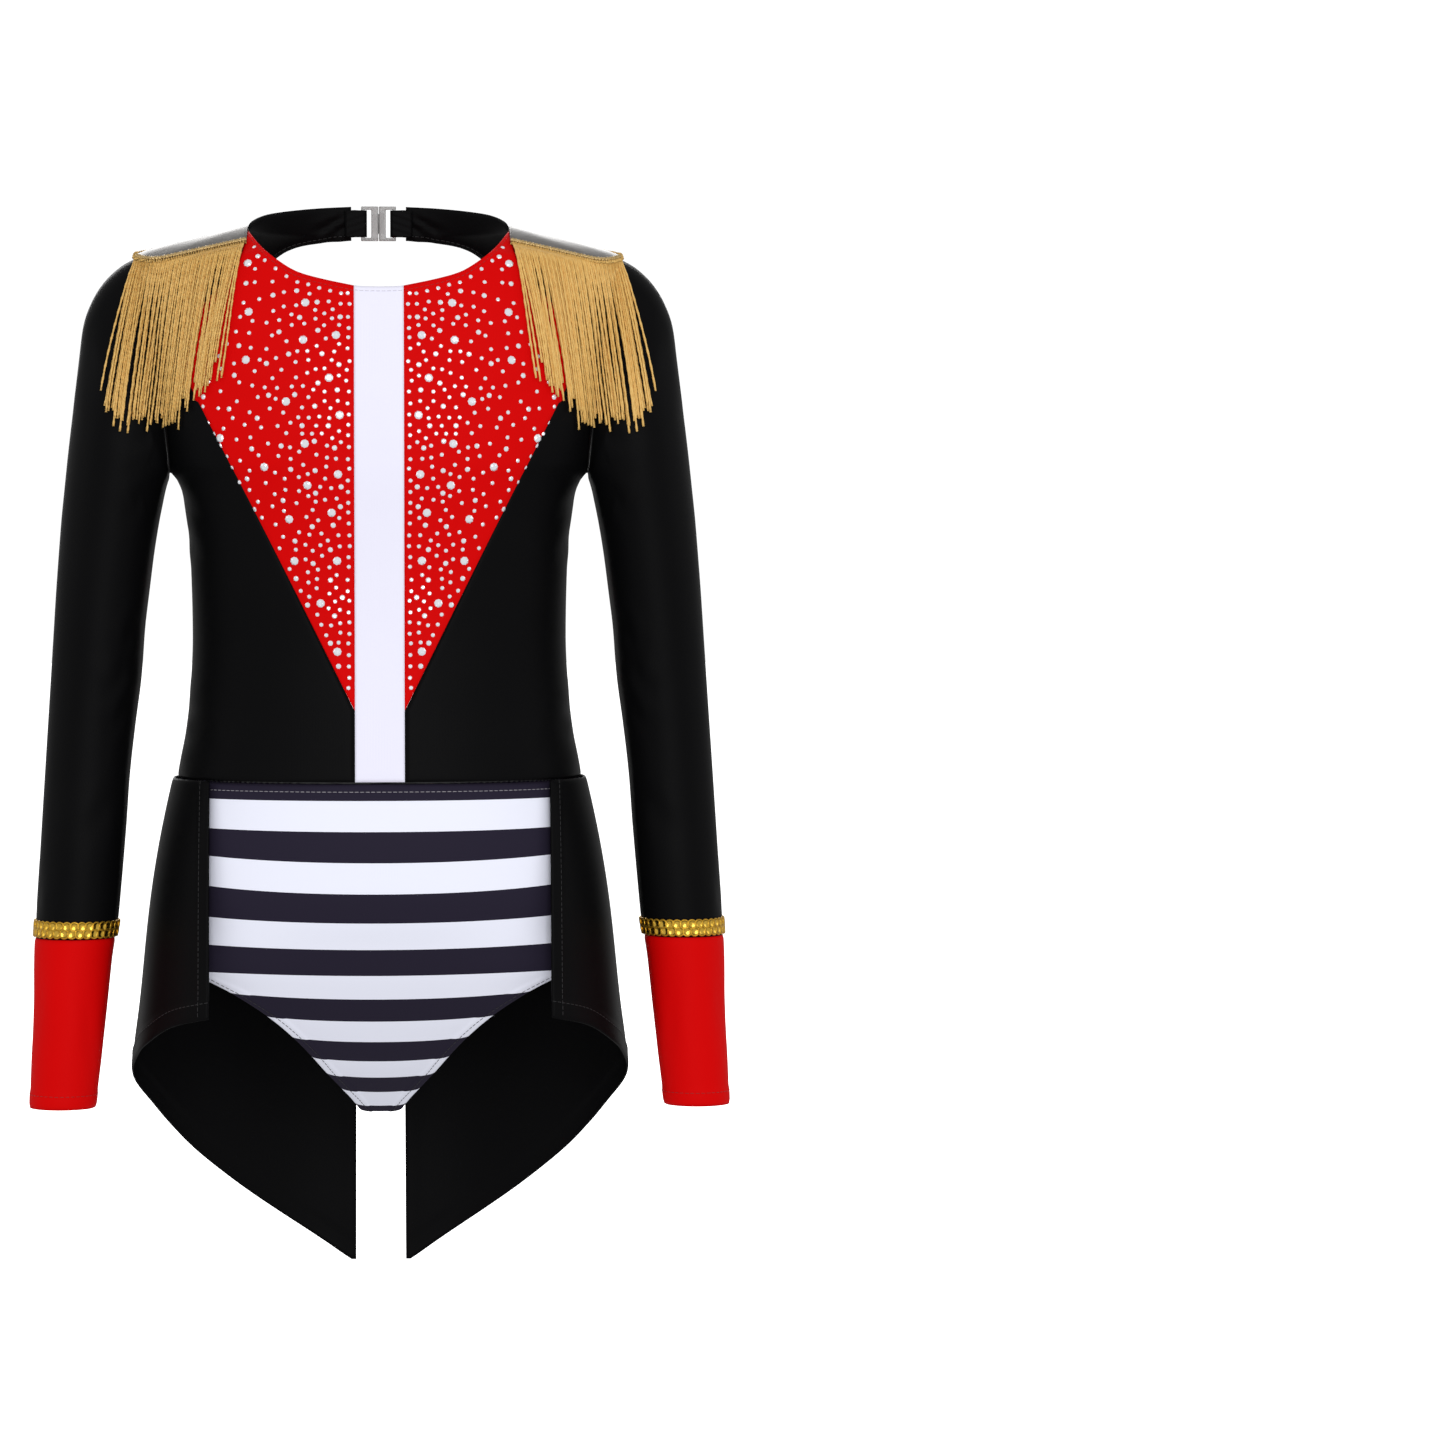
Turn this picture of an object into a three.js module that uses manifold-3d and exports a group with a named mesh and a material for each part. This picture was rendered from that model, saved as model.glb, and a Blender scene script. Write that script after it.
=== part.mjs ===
// A girl's majorette costume: a long-sleeved stretch bodice with an open, strapped back, a striped brief,
// a tailcoat skirt and fringed shoulder boards, filled out as it is worn.
// Millimetres, +Z up. The front faces -Y and the wearer's left is +X. The origin is the middle of the neck
// opening, at the level of the neck points. The left half is drawn, and the right half mirrors it.
import * as THREE from "three";
import Module from "manifold-3d";

const wasm = await Module();
wasm.setup();

// Driving sizes
const CLOTH = 1.6; // wall of a layer of stretch cloth with its seam allowance
const SEAM_GAP = 0.36; // between pieces that are sewn together
const STRIP_HALF = 14.6; // half width of the white front strip
const UNDERARM_Z = -141.5;
const SHOULDER_TIP_Z = -14;
const NECK_POINT_Z = 1.8;
const WAIST_Z = -323.5;
const BRIEF_TOP_Z = -324.9;
const SKIRT_TOP_Z = -324;
const SKIRT_FRONT_X = 101; // from the centre to the skirt's front edge
const SLIT_TOP_Z = -378; // where the centre back seam of the skirt opens
const SLEEVE_END_ROW = 16; // the row of ARM at which the sleeve meets the cuff
const STRAP_WIDTH = 8.4;
const STRAP_THICK = 1.2;
const STRAP_RISE = 2; // of a back strap where it passes over its partner
const STRAP_UNDER = 0.45; // between a strap's outer side and the panel edge that it is sewn under
const CROSSING_SPREAD = 21; // degrees from the centre over which a strap rises to its crossing
const NECK_STRAP_END_X = 16.5;
const CLASP_HEIGHT = 21;
const CLASP_THICK = 2;
const CLASP_MID_Z = 8.6;
const FOLD_LAYER = 1.25; // of the neck strap where it is folded round the clasp
const FOLD_GAP = 0.35; // between that fold and the clasp
const TONGUE_THICK = 1.4;
const BOARD_START_X = 78;
const BOARD_LENGTH = 65;
const BOARD_DROP = 16; // from its neck end to its shoulder end
const BOARD_DIP = 6.6; // from its middle line to its front edge
const BOARD_THICK = 2.2;
const CORD_RADIUS = 0.85; // of a fringe strand
const CORD_CLEARANCE = 1.2; // from the cloth under it to the strand's side
const FRONT_STRANDS = 26;
const BACK_STRANDS = 19;
const BRAID_CLEARANCE = 0.45; // from the sleeve to the braid
const HEADER_RADIUS = 1.15; // of the tape that the strands hang from
const HEADER_AWAY = 1.6; // from the board's edge to the middle of the tape

// The filled-out bodice, level by level: half widths of the front and back halves, and their depths
const BODY = [
  { z: 24, halfFront: 74, halfBack: 74, front: 38, back: 58 },
  { z: 10, halfFront: 76, halfBack: 76, front: 39, back: 59 },
  { z: NECK_POINT_Z, halfFront: 78.6, halfBack: 78.6, front: 41, back: 60 },
  { z: -1.5, halfFront: 91, halfBack: 91, front: 43, back: 60.5 },
  { z: -5.5, halfFront: 107.5, halfBack: 107.5, front: 46, back: 61.5 },
  { z: -10, halfFront: 126.5, halfBack: 126.5, front: 50, back: 63 },
  { z: SHOULDER_TIP_Z, halfFront: 143.2, halfBack: 143.2, front: 55, back: 65 },
  { z: -26, halfFront: 146, halfBack: 147, front: 62, back: 70 },
  { z: -42, halfFront: 146, halfBack: 148.7, front: 69, back: 73.5 },
  { z: -78, halfFront: 142, halfBack: 150, front: 79, back: 77 },
  { z: -99, halfFront: 138.5, halfBack: 149.5, front: 82.5, back: 78 },
  { z: -125, halfFront: 132, halfBack: 144, front: 84.5, back: 78 },
  { z: -134, halfFront: 129, halfBack: 138, front: 84.5, back: 77.5 },
  { z: -139.5, halfFront: 126.5, halfBack: 130.5, front: 84.4, back: 77 },
  { z: UNDERARM_Z, halfFront: 124.5, halfBack: 124.5, front: 84.2, back: 76.8 },
  { z: -147, halfFront: 120.3, halfBack: 120.3, front: 83.6, back: 76.3 },
  { z: -171, halfFront: 114.5, halfBack: 114.5, front: 80, back: 74 },
  { z: -207, halfFront: 112, halfBack: 112, front: 76, back: 71 },
  { z: -240, halfFront: 111.5, halfBack: 111.5, front: 74.5, back: 71 },
  { z: -279, halfFront: 113.7, halfBack: 113.7, front: 76, back: 74 },
  { z: -308, halfFront: 118, halfBack: 118, front: 79, back: 78.5 },
  { z: -330, halfFront: 122, halfBack: 122, front: 81.5, back: 82 },
];
const BODY_FULLNESS = 2.3; // 2 is an ellipse, more is squarer

// The skirt's outer side, level by level
const SKIRT = [
  { z: -323, halfFront: 123.4, halfBack: 123.4, front: 83.6, back: 84.4 },
  { z: -342, halfFront: 127.8, halfBack: 127.8, front: 89, back: 91.6 },
  { z: -365, halfFront: 132.6, halfBack: 132.6, front: 92.8, back: 98.2 },
  { z: -388, halfFront: 136.6, halfBack: 136.6, front: 94.5, back: 101.8 },
  { z: -408, halfFront: 139.4, halfBack: 139.4, front: 95.5, back: 104.5 },
  { z: -459, halfFront: 145, halfBack: 145, front: 98, back: 109 },
  { z: -495, halfFront: 149.2, halfBack: 149.2, front: 100, back: 112 },
  { z: -560, halfFront: 152.5, halfBack: 152.5, front: 100, back: 115.5 },
  { z: -634, halfFront: 155, halfBack: 155, front: 100, back: 118 },
];
const SKIRT_FULLNESS = 2.2;

// Front neckline, from the strip to the neck point
const NECKLINE = [
  { x: STRIP_HALF, z: -32.5 },
  { x: 33.7, z: -28.4 },
  { x: 47.3, z: -24.4 },
  { x: 59.7, z: -17 },
  { x: 69.5, z: -8.5 },
  { x: 77.7, z: NECK_POINT_Z },
];

// Seam of the red front panel against the side panel, from the neck point out under the fringe and then
// straight down to the strip
const RED_SEAM = [
  { z: NECK_POINT_Z, x: 77.7 },
  { z: -14, x: 81 },
  { z: -26, x: 87.5 },
  { z: -42, x: 102 },
  { z: -60, x: 115 },
  { z: -78, x: 117.6 },
  { z: -80, x: 116.6 },
  { z: -99, x: 107 },
  { z: -190, x: 60.6 },
  { z: -282, x: STRIP_HALF + 0.1 },
];
const RED_CORNER_Z = -99; // the red panel's points follow the neckline above it and the diagonal seam below it
const RED_TIP_Z = -282;

// Levels of the side panel's rows. The shoulder seam, armhole and red seam all bend at these.
const SHOULDER_LEVELS = [NECK_POINT_Z, -1.5, -5.5, -10, SHOULDER_TIP_Z];
const CHEST_LEVELS = [-26, -42, -60, -78, RED_CORNER_Z];
const DIAGONAL_LEVELS = [-112, -125, -134, -139.5, UNDERARM_Z, -163, -190, -220, -252, RED_TIP_Z];
const WAIST_LEVELS = [-296, -306, -315];

// Front of the armhole, from the shoulder tip down to the underarm
const ARMHOLE_FRONT = [
  { z: SHOULDER_TIP_Z, x: 143.2 },
  { z: -26, x: 140.5 },
  { z: -42, x: 137.5 },
  { z: -60, x: 134 },
  { z: -78, x: 131 },
  { z: -99, x: 128 },
  { z: -112, x: 126.3 },
  { z: -125, x: 125 },
  { z: -134, x: 124.4 },
  { z: -139.5, x: 124.3 },
  { z: UNDERARM_Z, x: 124.5 },
];

// Back shoulder piece: its outer edge runs up the armhole, over the shoulder seam and along the top of the
// neck strap; its inner edge is the bound edge of the open back and the bottom of the neck strap
const YOKE = [
  { outX: 124.7, outZ: UNDERARM_Z + 0.4, inX: 117.6, inZ: UNDERARM_Z + 0.4 },
  { outX: 129, outZ: -139.5, inX: 118.3, inZ: -136 },
  { outX: 136.5, outZ: -134, inX: 118.8, inZ: -129 },
  { outX: 141, outZ: -125, inX: 118.6, inZ: -119 },
  { outX: 144, outZ: -112, inX: 117.6, inZ: -107 },
  { outX: 145.5, outZ: -99, inX: 116, inZ: -95 },
  { outX: 145.6, outZ: -78, inX: 110.5, inZ: -80 },
  { outX: 145.1, outZ: -60, inX: 103, inZ: -66 },
  { outX: 144.6, outZ: -42, inX: 95, inZ: -54 },
  { outX: 144.2, outZ: -26, inX: 88, inZ: -44 },
  { outX: 143.2, outZ: SHOULDER_TIP_Z, inX: 81.5, inZ: -35.5 },
  { outX: 126.5, outZ: -10, inX: 76.5, inZ: -29 },
  { outX: 107.5, outZ: -5.5, inX: 72, inZ: -23.5 },
  { outX: 91, outZ: -1.5, inX: 67.5, inZ: -18 },
  { outX: 78.6, outZ: NECK_POINT_Z, inX: 62.5, inZ: -13 },
  { outX: 74.5, outZ: 8, inX: 55, inZ: -8.2 },
  { outX: 66, outZ: 12.8, inX: 47, inZ: -5.4 },
  { outX: 48.5, outZ: 16.2, inX: 36, inZ: -3.5 },
  { outX: 31, outZ: 18, inX: 26, inZ: -2.4 },
  { outX: NECK_STRAP_END_X, outZ: 18.8, inX: NECK_STRAP_END_X, inZ: -1.7 },
];
const ARMHOLE_STATIONS = 11; // rows of YOKE that lie along the armhole

// Edge of the open back below the underarm, as an angle round the body from the front centre
const BACK_EDGE = [
  { z: UNDERARM_Z, angle: 111 },
  { z: -163, angle: 103.5 },
  { z: -190, angle: 99.5 },
  { z: -220, angle: 98 },
  { z: -252, angle: 98.5 },
  { z: RED_TIP_Z, angle: 101 },
  { z: -296, angle: 107 },
  { z: -306, angle: 117 },
  { z: -315, angle: 131 },
];

// The side panel's narrow end, which runs on along the waist to the centre back
const WAIST_END = [
  { angle: 140, z: -316.2 },
  { angle: 150, z: -317.2 },
  { angle: 162, z: -318.8 },
  { angle: 173, z: -320.2 },
];

// Left arm: the outer and inner points of each ring, its middle in Y and its half depth. share is how much
// of the armhole's own outline the ring keeps.
const ARM = [
  { outX: 143.2, outZ: -14, inX: 124.5, inZ: -141.5, y: -7, depth: 30, share: 1 },
  { outX: 153, outZ: -19.5, inX: 125, inZ: -143.5, y: -8.5, depth: 33, share: 1 },
  { outX: 163.5, outZ: -29.5, inX: 125.2, inZ: -146, y: -10, depth: 35.5, share: 0.92 },
  { outX: 170.5, outZ: -41, inX: 126, inZ: -149, y: -11, depth: 37.5, share: 0.7 },
  { outX: 175.3, outZ: -55, inX: 127, inZ: -153, y: -12, depth: 38, share: 0.42 },
  { outX: 178, outZ: -76, inX: 128.6, inZ: -161, y: -12.5, depth: 37.5, share: 0.16 },
  { outX: 181.3, outZ: -104, inX: 131.1, inZ: -174, y: -13, depth: 36.5, share: 0 },
  { outX: 185.1, outZ: -136, inX: 133.7, inZ: -190, y: -13, depth: 35, share: 0 },
  { outX: 188.7, outZ: -172, inX: 136.4, inZ: -211, y: -13.5, depth: 33, share: 0 },
  { outX: 191.6, outZ: -208, inX: 139.3, inZ: -235, y: -14.5, depth: 31, share: 0 },
  { outX: 193.9, outZ: -244, inX: 141.3, inZ: -262, y: -16, depth: 29.5, share: 0 },
  { outX: 196.2, outZ: -280, inX: 145, inZ: -291, y: -17.5, depth: 28.5, share: 0 },
  { outX: 198.5, outZ: -316, inX: 148.5, inZ: -322, y: -19.5, depth: 27.5, share: 0 },
  { outX: 200.7, outZ: -351, inX: 150.7, inZ: -353, y: -21.5, depth: 26.8, share: 0 },
  { outX: 202.7, outZ: -384, inX: 153.3, inZ: -384, y: -23.5, depth: 26, share: 0 },
  { outX: 204.2, outZ: -408, inX: 155.6, inZ: -408, y: -25, depth: 25.4, share: 0 },
  { outX: 204.9, outZ: -418, inX: 157.2, inZ: -418, y: -25.7, depth: 25, share: 0 },
  { outX: 205.3, outZ: -428, inX: 158.8, inZ: -428, y: -26.4, depth: 24.6, share: 0 },
  { outX: 205.6, outZ: -460, inX: 162.2, inZ: -460, y: -28.6, depth: 23.6, share: 0 },
  { outX: 207.1, outZ: -492, inX: 165.8, inZ: -492, y: -30.8, depth: 22.4, share: 0 },
  { outX: 208, outZ: -518.5, inX: 169, inZ: -518.5, y: -33, depth: 21, share: 0 },
];

// Braid round the cuff seam, in two rows of loops: height above the seam, and thickness
const BRAID = [
  { up: 10.9, thick: 1.1 },
  { up: 7.7, thick: 2 },
  { up: 4.8, thick: 1.2 },
  { up: 1.9, thick: 2 },
  { up: -0.4, thick: 1.1 },
];

// Brief: for each row across, its point on the centre line and its end at the side seam or leg edge
const BRIEF_FRONT = [
  { midY: -79.6, midZ: BRIEF_TOP_Z, endX: 119.8, endY: 0, endZ: BRIEF_TOP_Z },
  { midY: -84.5, midZ: -342, endX: 124.6, endY: 0, endZ: -342 },
  { midY: -87, midZ: -365, endX: 129.2, endY: 0, endZ: -365 },
  { midY: -87, midZ: -386, endX: 133, endY: 0, endZ: -388 },
  { midY: -82.5, midZ: -404, endX: 135, endY: -2, endZ: -408 },
  { midY: -74.5, midZ: -420, endX: 124, endY: -30, endZ: -423 },
  { midY: -65.5, midZ: -437, endX: 108, endY: -47, endZ: -439 },
  { midY: -55, midZ: -452, endX: 88.5, endY: -47, endZ: -449.5 },
  { midY: -43, midZ: -467, endX: 67.5, endY: -39.5, endZ: -464 },
  { midY: -31, midZ: -480, endX: 53.7, endY: -29, endZ: -476.5 },
  { midY: -17.5, midZ: -493.5, endX: 41.7, endY: -16.5, endZ: -490 },
  { midY: -3.5, midZ: -504.5, endX: 33.5, endY: -4, endZ: -500.5 },
  { midY: 11, midZ: -514.5, endX: 25, endY: 9.5, endZ: -511 },
  { midY: 24, midZ: -523, endX: 17.8, endY: 22.5, endZ: -520 },
  { midY: 36, midZ: -530.5, endX: 12.7, endY: 35, endZ: -528 },
];
const BRIEF_BACK = [
  { midY: 79.8, midZ: BRIEF_TOP_Z, endX: 119.8, endY: 0, endZ: BRIEF_TOP_Z },
  { midY: 85.8, midZ: -342, endX: 124.6, endY: 0, endZ: -342 },
  { midY: 92, midZ: -363, endX: 129.2, endY: 0, endZ: -365 },
  { midY: 96, midZ: -385, endX: 133, endY: 0, endZ: -388 },
  { midY: 97.5, midZ: -406, endX: 135, endY: 2, endZ: -408 },
  { midY: 97, midZ: -426, endX: 128, endY: 24, endZ: -421 },
  { midY: 94, midZ: -446, endX: 114, endY: 43.5, endZ: -438 },
  { midY: 88.5, midZ: -465, endX: 87, endY: 57, endZ: -458 },
  { midY: 80.5, midZ: -482, endX: 60, endY: 60, endZ: -478 },
  { midY: 71, midZ: -497.5, endX: 41.5, endY: 60, endZ: -495.5 },
  { midY: 60, midZ: -511, endX: 28.5, endY: 55, endZ: -509.5 },
  { midY: 48, midZ: -522.5, endX: 17.5, endY: 47.5, endZ: -520.5 },
  { midY: 36, midZ: -530.5, endX: 12.7, endY: 35, endZ: -528 },
];
const BRIEF_FULLNESS = 2.12;

// Hem of the left skirt half, by the angle round the body: shallow in front, falling to the tail's point
const HEM = [
  { angle: 42, z: -463 },
  { angle: 56, z: -469 },
  { angle: 69, z: -480 },
  { angle: 90, z: -495 },
  { angle: 111, z: -519 },
  { angle: 124.5, z: -540 },
  { angle: 135.6, z: -560 },
  { angle: 147, z: -580 },
  { angle: 158, z: -599 },
  { angle: 168.8, z: -619 },
  { angle: 174.5, z: -631 },
];

// Half width of the centre back slit
const SLIT = [
  { z: SLIT_TOP_Z, x: 0 },
  { z: -388, x: 5.8 },
  { z: -421, x: 10.7 },
  { z: -453, x: 13.2 },
  { z: -480, x: 14.8 },
  { z: -634, x: 15.5 },
];

// Paths of the back straps that start on the left; the other two mirror them. 180 is the centre back.
const UPPER_STRAP = [
  { angle: 102.5, z: -151 },
  { angle: 117.6, z: -171 },
  { angle: 133, z: -187 },
  { angle: 145.2, z: -197.5 },
  { angle: 165.8, z: -209.5 },
  { angle: 180, z: -216 },
  { angle: 195.6, z: -223 },
  { angle: 203.6, z: -224.5 },
  { angle: 213.5, z: -224 },
  { angle: 223.6, z: -221.5 },
  { angle: 237, z: -216 },
  { angle: 250, z: -209.5 },
  { angle: 267, z: -203.5 },
];
const LOWER_STRAP = [
  { angle: 93, z: -217 },
  { angle: 106, z: -225 },
  { angle: 127, z: -238 },
  { angle: 145, z: -253 },
  { angle: 163, z: -263 },
  { angle: 180, z: -268.5 },
  { angle: 195, z: -275 },
  { angle: 212, z: -279 },
  { angle: 232, z: -282.5 },
  { angle: 250, z: -286 },
  { angle: 264, z: -289 },
];

// Fringe: for a share of the way from the neck end to the shoulder tip, where a strand ends
const FRONT_TIPS = [
  { share: 0, x: 94, z: -85 },
  { share: 0.08, x: 99, z: -88 },
  { share: 0.2, x: 108, z: -99 },
  { share: 0.3, x: 115, z: -110 },
  { share: 0.5, x: 128.5, z: -116 },
  { share: 0.8, x: 149.5, z: -117 },
  { share: 1, x: 163, z: -103 },
];
const BACK_TIPS = [
  { share: 0, x: 104, z: -64 },
  { share: 0.15, x: 111, z: -76 },
  { share: 0.35, x: 122, z: -82 },
  { share: 0.55, x: 134, z: -95 },
  { share: 0.8, x: 150, z: -101 },
  { share: 1, x: 163, z: -106 },
];
const FRONT_DROPS = [5, 22, 52]; // below the root, where a front strand bends to the cloth
const BACK_DROPS = [2.5, 12, 36];

// Curves through tables
function slopes(at, values) {
  const secants = values.slice(1).map((value, i) => (value - values[i]) / (at[i + 1] - at[i]));
  return values.map((_, i) => {
    const before = secants[Math.max(i - 1, 0)];
    const after = secants[Math.min(i, secants.length - 1)];
    return before * after <= 0 ? 0 : (2 * before * after) / (before + after);
  });
}

// Reads the other columns of a table at any value of one column, along smooth curves that never overshoot
function reader(rows, column) {
  const sorted = [...rows].sort((a, b) => a[column] - b[column]);
  const at = sorted.map((row) => row[column]);
  const names = Object.keys(rows[0]).filter((name) => name !== column);
  const bends = Object.fromEntries(names.map((name) => [name, slopes(at, sorted.map((row) => row[name]))]));
  return (value) => {
    const inside = THREE.MathUtils.clamp(value, at[0], at.at(-1));
    const i = Math.max(at.findLastIndex((start, k) => start <= inside && k < at.length - 1), 0);
    const length = at[i + 1] - at[i];
    const t = (inside - at[i]) / length;
    const read = (name) => {
      const rise = t * t * (3 - 2 * t);
      const bend = bends[name][i] * t * (1 - t) ** 2 - bends[name][i + 1] * t * t * (1 - t);
      return sorted[i][name] * (1 - rise) + sorted[i + 1][name] * rise + bend * length;
    };
    return Object.fromEntries(names.map((name) => [name, read(name)]));
  };
}

// A form that cloth lies on: level sections, each a rounded outline. Angles go from the front centre (0) by
// the left side (90) to the centre back (180).
class Form {
  constructor(rows, fullness) {
    this.read = reader(rows, "z");
    this.power = 2 / fullness;
  }

  point(angle, z) {
    const level = this.read(z);
    const turn = THREE.MathUtils.degToRad(angle);
    const sine = Math.sin(turn);
    const cosine = Math.cos(turn);
    const half = cosine > 0 ? level.halfFront : level.halfBack;
    const depth = cosine > 0 ? -level.front : level.back;
    return new THREE.Vector3(
      half * Math.sign(sine) * Math.abs(sine) ** this.power,
      depth * Math.abs(cosine) ** this.power,
      z,
    );
  }

  normal(angle, z) {
    const around = this.point(angle + 0.5, z).sub(this.point(angle - 0.5, z));
    const up = this.point(angle, z + 0.4).sub(this.point(angle, z - 0.4));
    return around.cross(up).normalize();
  }

  // The angle at which a level reaches x, on the front or the back half
  angleAt(x, z, isBack) {
    const level = this.read(z);
    const ratio = Math.min(x / (isBack ? level.halfBack : level.halfFront), 1);
    const angle = THREE.MathUtils.radToDeg(Math.asin(ratio ** (1 / this.power)));
    return isBack ? 180 - angle : angle;
  }

  place(spot) {
    return { point: this.point(spot.angle, spot.z), normal: this.normal(spot.angle, spot.z) };
  }
}

// Cloth sheets: rows of places, with a cell wherever two neighbouring rows both reach
function sheetOf(rows, isRound = false) {
  const sheet = { points: [], normals: [], faces: [] };
  const starts = rows.map((row) => {
    const start = sheet.points.length;
    row.forEach((place) => {
      sheet.points.push(place.point.clone());
      sheet.normals.push(place.normal);
    });
    return start;
  });
  for (let i = 0; i + 1 < rows.length; i++) {
    const reach = Math.min(rows[i].length, rows[i + 1].length);
    const cells = isRound ? reach : reach - 1;
    for (let j = 0; j < cells; j++) {
      const next = (j + 1) % reach;
      const [a, b] = [starts[i] + j, starts[i] + next];
      const [c, d] = [starts[i + 1] + next, starts[i + 1] + j];
      sheet.faces.push([a, c, b], [a, d, c]);
    }
  }
  return sheet;
}

// The edges that only one face of a sheet has, each in that face's direction
function openEdges(faces) {
  const edges = faces.flatMap(([a, b, c]) => [[a, b], [b, c], [c, a]]);
  const seen = new Set(edges.map(([a, b]) => a + " " + b));
  return edges.filter(([a, b]) => !seen.has(b + " " + a));
}

// Draws a sheet's edges in by half the seam gap
function drawIn(sheet, by = SEAM_GAP / 2) {
  const pulls = new Map();
  for (const [a, b] of openEdges(sheet.faces)) {
    const along = sheet.points[b].clone().sub(sheet.points[a]).normalize();
    for (const k of [a, b]) {
      const inward = sheet.normals[k].clone().cross(along).normalize();
      pulls.set(k, [...(pulls.get(k) ?? []), inward]);
    }
  }
  for (const [k, [first, second]] of pulls) {
    const spread = Math.max(1 + first.dot(second), 0.4);
    sheet.points[k].addScaledVector(first.clone().add(second), by / spread);
  }
  return sheet;
}

// A closed wall from a sheet: its outer side lies rise above the sheet, its inner side thick further in.
// Either may be a list with a value for each point.
function wall(sheet, thick = CLOTH, rise = 0) {
  const count = sheet.points.length;
  const at = (value, k) => (Array.isArray(value) ? value[k] : value);
  const side = (share) =>
    sheet.points.flatMap((point, k) => {
      const lift = at(rise, k) - at(thick, k) * share;
      return point.clone().addScaledVector(sheet.normals[k], lift).toArray();
    });
  const faces = [...sheet.faces];
  sheet.faces.forEach(([a, b, c]) => faces.push([a + count, c + count, b + count]));
  openEdges(sheet.faces).forEach(([a, b]) => faces.push([b, a, a + count], [b, a + count, b + count]));
  return closedGeometry([...side(0), ...side(1)], faces);
}

// An indexed geometry whose faces point out
function closedGeometry(numbers, faces) {
  const corner = (k) => new THREE.Vector3().fromArray(numbers, k * 3);
  const volume = faces.reduce((sum, [a, b, c]) => sum + corner(a).dot(corner(b).cross(corner(c))), 0);
  const geometry = new THREE.BufferGeometry();
  geometry.setAttribute("position", new THREE.Float32BufferAttribute(numbers, 3));
  geometry.setIndex(faces.flatMap(([a, b, c]) => (volume < 0 ? [a, c, b] : [a, b, c])));
  return geometry;
}

// The same piece for the wearer's right side
function mirrored(geometry) {
  const position = geometry.getAttribute("position");
  const numbers = [...position.array].map((value, k) => (k % 3 === 0 ? -value : value));
  const index = [...geometry.getIndex().array];
  const faces = [];
  for (let k = 0; k < index.length; k += 3) faces.push([index[k], index[k + 1], index[k + 2]]);
  return closedGeometry(numbers, faces);
}

function mix(a, b, share) {
  return a + (b - a) * share;
}

function shares(count) {
  return Array.from({ length: count + 1 }, (_, k) => k / count);
}

// Solids that need joining
function toSolid(geometry) {
  const vertProperties = new Float32Array(geometry.getAttribute("position").array);
  const triVerts = new Uint32Array(geometry.getIndex().array);
  return new wasm.Manifold(new wasm.Mesh({ numProp: 3, vertProperties, triVerts }));
}

function toGeometry(solid) {
  const mesh = solid.getMesh();
  const geometry = new THREE.BufferGeometry();
  geometry.setAttribute("position", new THREE.Float32BufferAttribute(mesh.vertProperties, 3));
  geometry.setIndex([...mesh.triVerts]);
  return geometry;
}

// A straight-edged bar along a path of points, with a cross-section of the given sides
function bar(path, radius, sides, upright = new THREE.Vector3(0, 0, 1)) {
  const numbers = [];
  path.forEach((point, i) => {
    const ahead = path[Math.min(i + 1, path.length - 1)];
    const behind = path[Math.max(i - 1, 0)];
    const along = ahead.clone().sub(behind).normalize();
    const across = along.clone().cross(upright).normalize();
    const above = across.clone().cross(along);
    for (let k = 0; k < sides; k++) {
      const turn = ((k + 0.5) / sides) * Math.PI * 2;
      const corner = point.clone().addScaledVector(across, Math.cos(turn) * radius);
      numbers.push(...corner.addScaledVector(above, Math.sin(turn) * radius).toArray());
    }
  });
  const faces = [];
  for (let i = 0; i + 1 < path.length; i++) {
    for (let k = 0; k < sides; k++) {
      const [a, b] = [i * sides + k, i * sides + ((k + 1) % sides)];
      faces.push([a, a + sides, b + sides], [a, b + sides, b]);
    }
  }
  const last = (path.length - 1) * sides;
  for (let k = 1; k + 1 < sides; k++) faces.push([0, k, k + 1], [last, last + k + 1, last + k]);
  return closedGeometry(numbers, faces);
}

const body = new Form(BODY, BODY_FULLNESS);
const skirtForm = new Form(SKIRT, SKIRT_FULLNESS);
const redSeam = reader(RED_SEAM, "z");
const armholeFront = reader(ARMHOLE_FRONT, "z");
const backEdge = reader(BACK_EDGE, "z");

// Red front panel: four curved sides, its inside filled from them
function redFrontSheet() {
  const neck = new THREE.CatmullRomCurve3(NECKLINE.map(({ x, z }) => new THREE.Vector3(x, 0, z)));
  const onSeam = (z) => ({ x: redSeam(z).x, z });
  const outerLevels = [...SHOULDER_LEVELS, ...CHEST_LEVELS];
  const diagonalLevels = [RED_CORNER_Z, ...DIAGONAL_LEVELS];
  const topEdge = shares(diagonalLevels.length - 1).map((share) => neck.getPointAt(share));
  const bottomEdge = diagonalLevels.map(onSeam).reverse();
  const outerEdge = outerLevels.map(onSeam);
  const innerEdge = stripLevels().map((z) => ({ x: STRIP_HALF, z }));
  const [topIn, topOut] = [topEdge[0], topEdge.at(-1)];
  const [lowIn, lowOut] = [bottomEdge[0], bottomEdge.at(-1)];
  const rows = innerEdge.map((inner, i) => {
    const down = i / (innerEdge.length - 1);
    return topEdge.map((top, j) => {
      const out = j / (topEdge.length - 1);
      const filled = (axis) =>
        mix(top[axis], bottomEdge[j][axis], down) +
        mix(inner[axis], outerEdge[i][axis], out) -
        mix(mix(topIn[axis], topOut[axis], out), mix(lowIn[axis], lowOut[axis], out), down);
      return body.place({ angle: body.angleAt(filled("x"), filled("z"), false), z: filled("z") });
    });
  });
  return sheetOf(rows);
}

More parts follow.
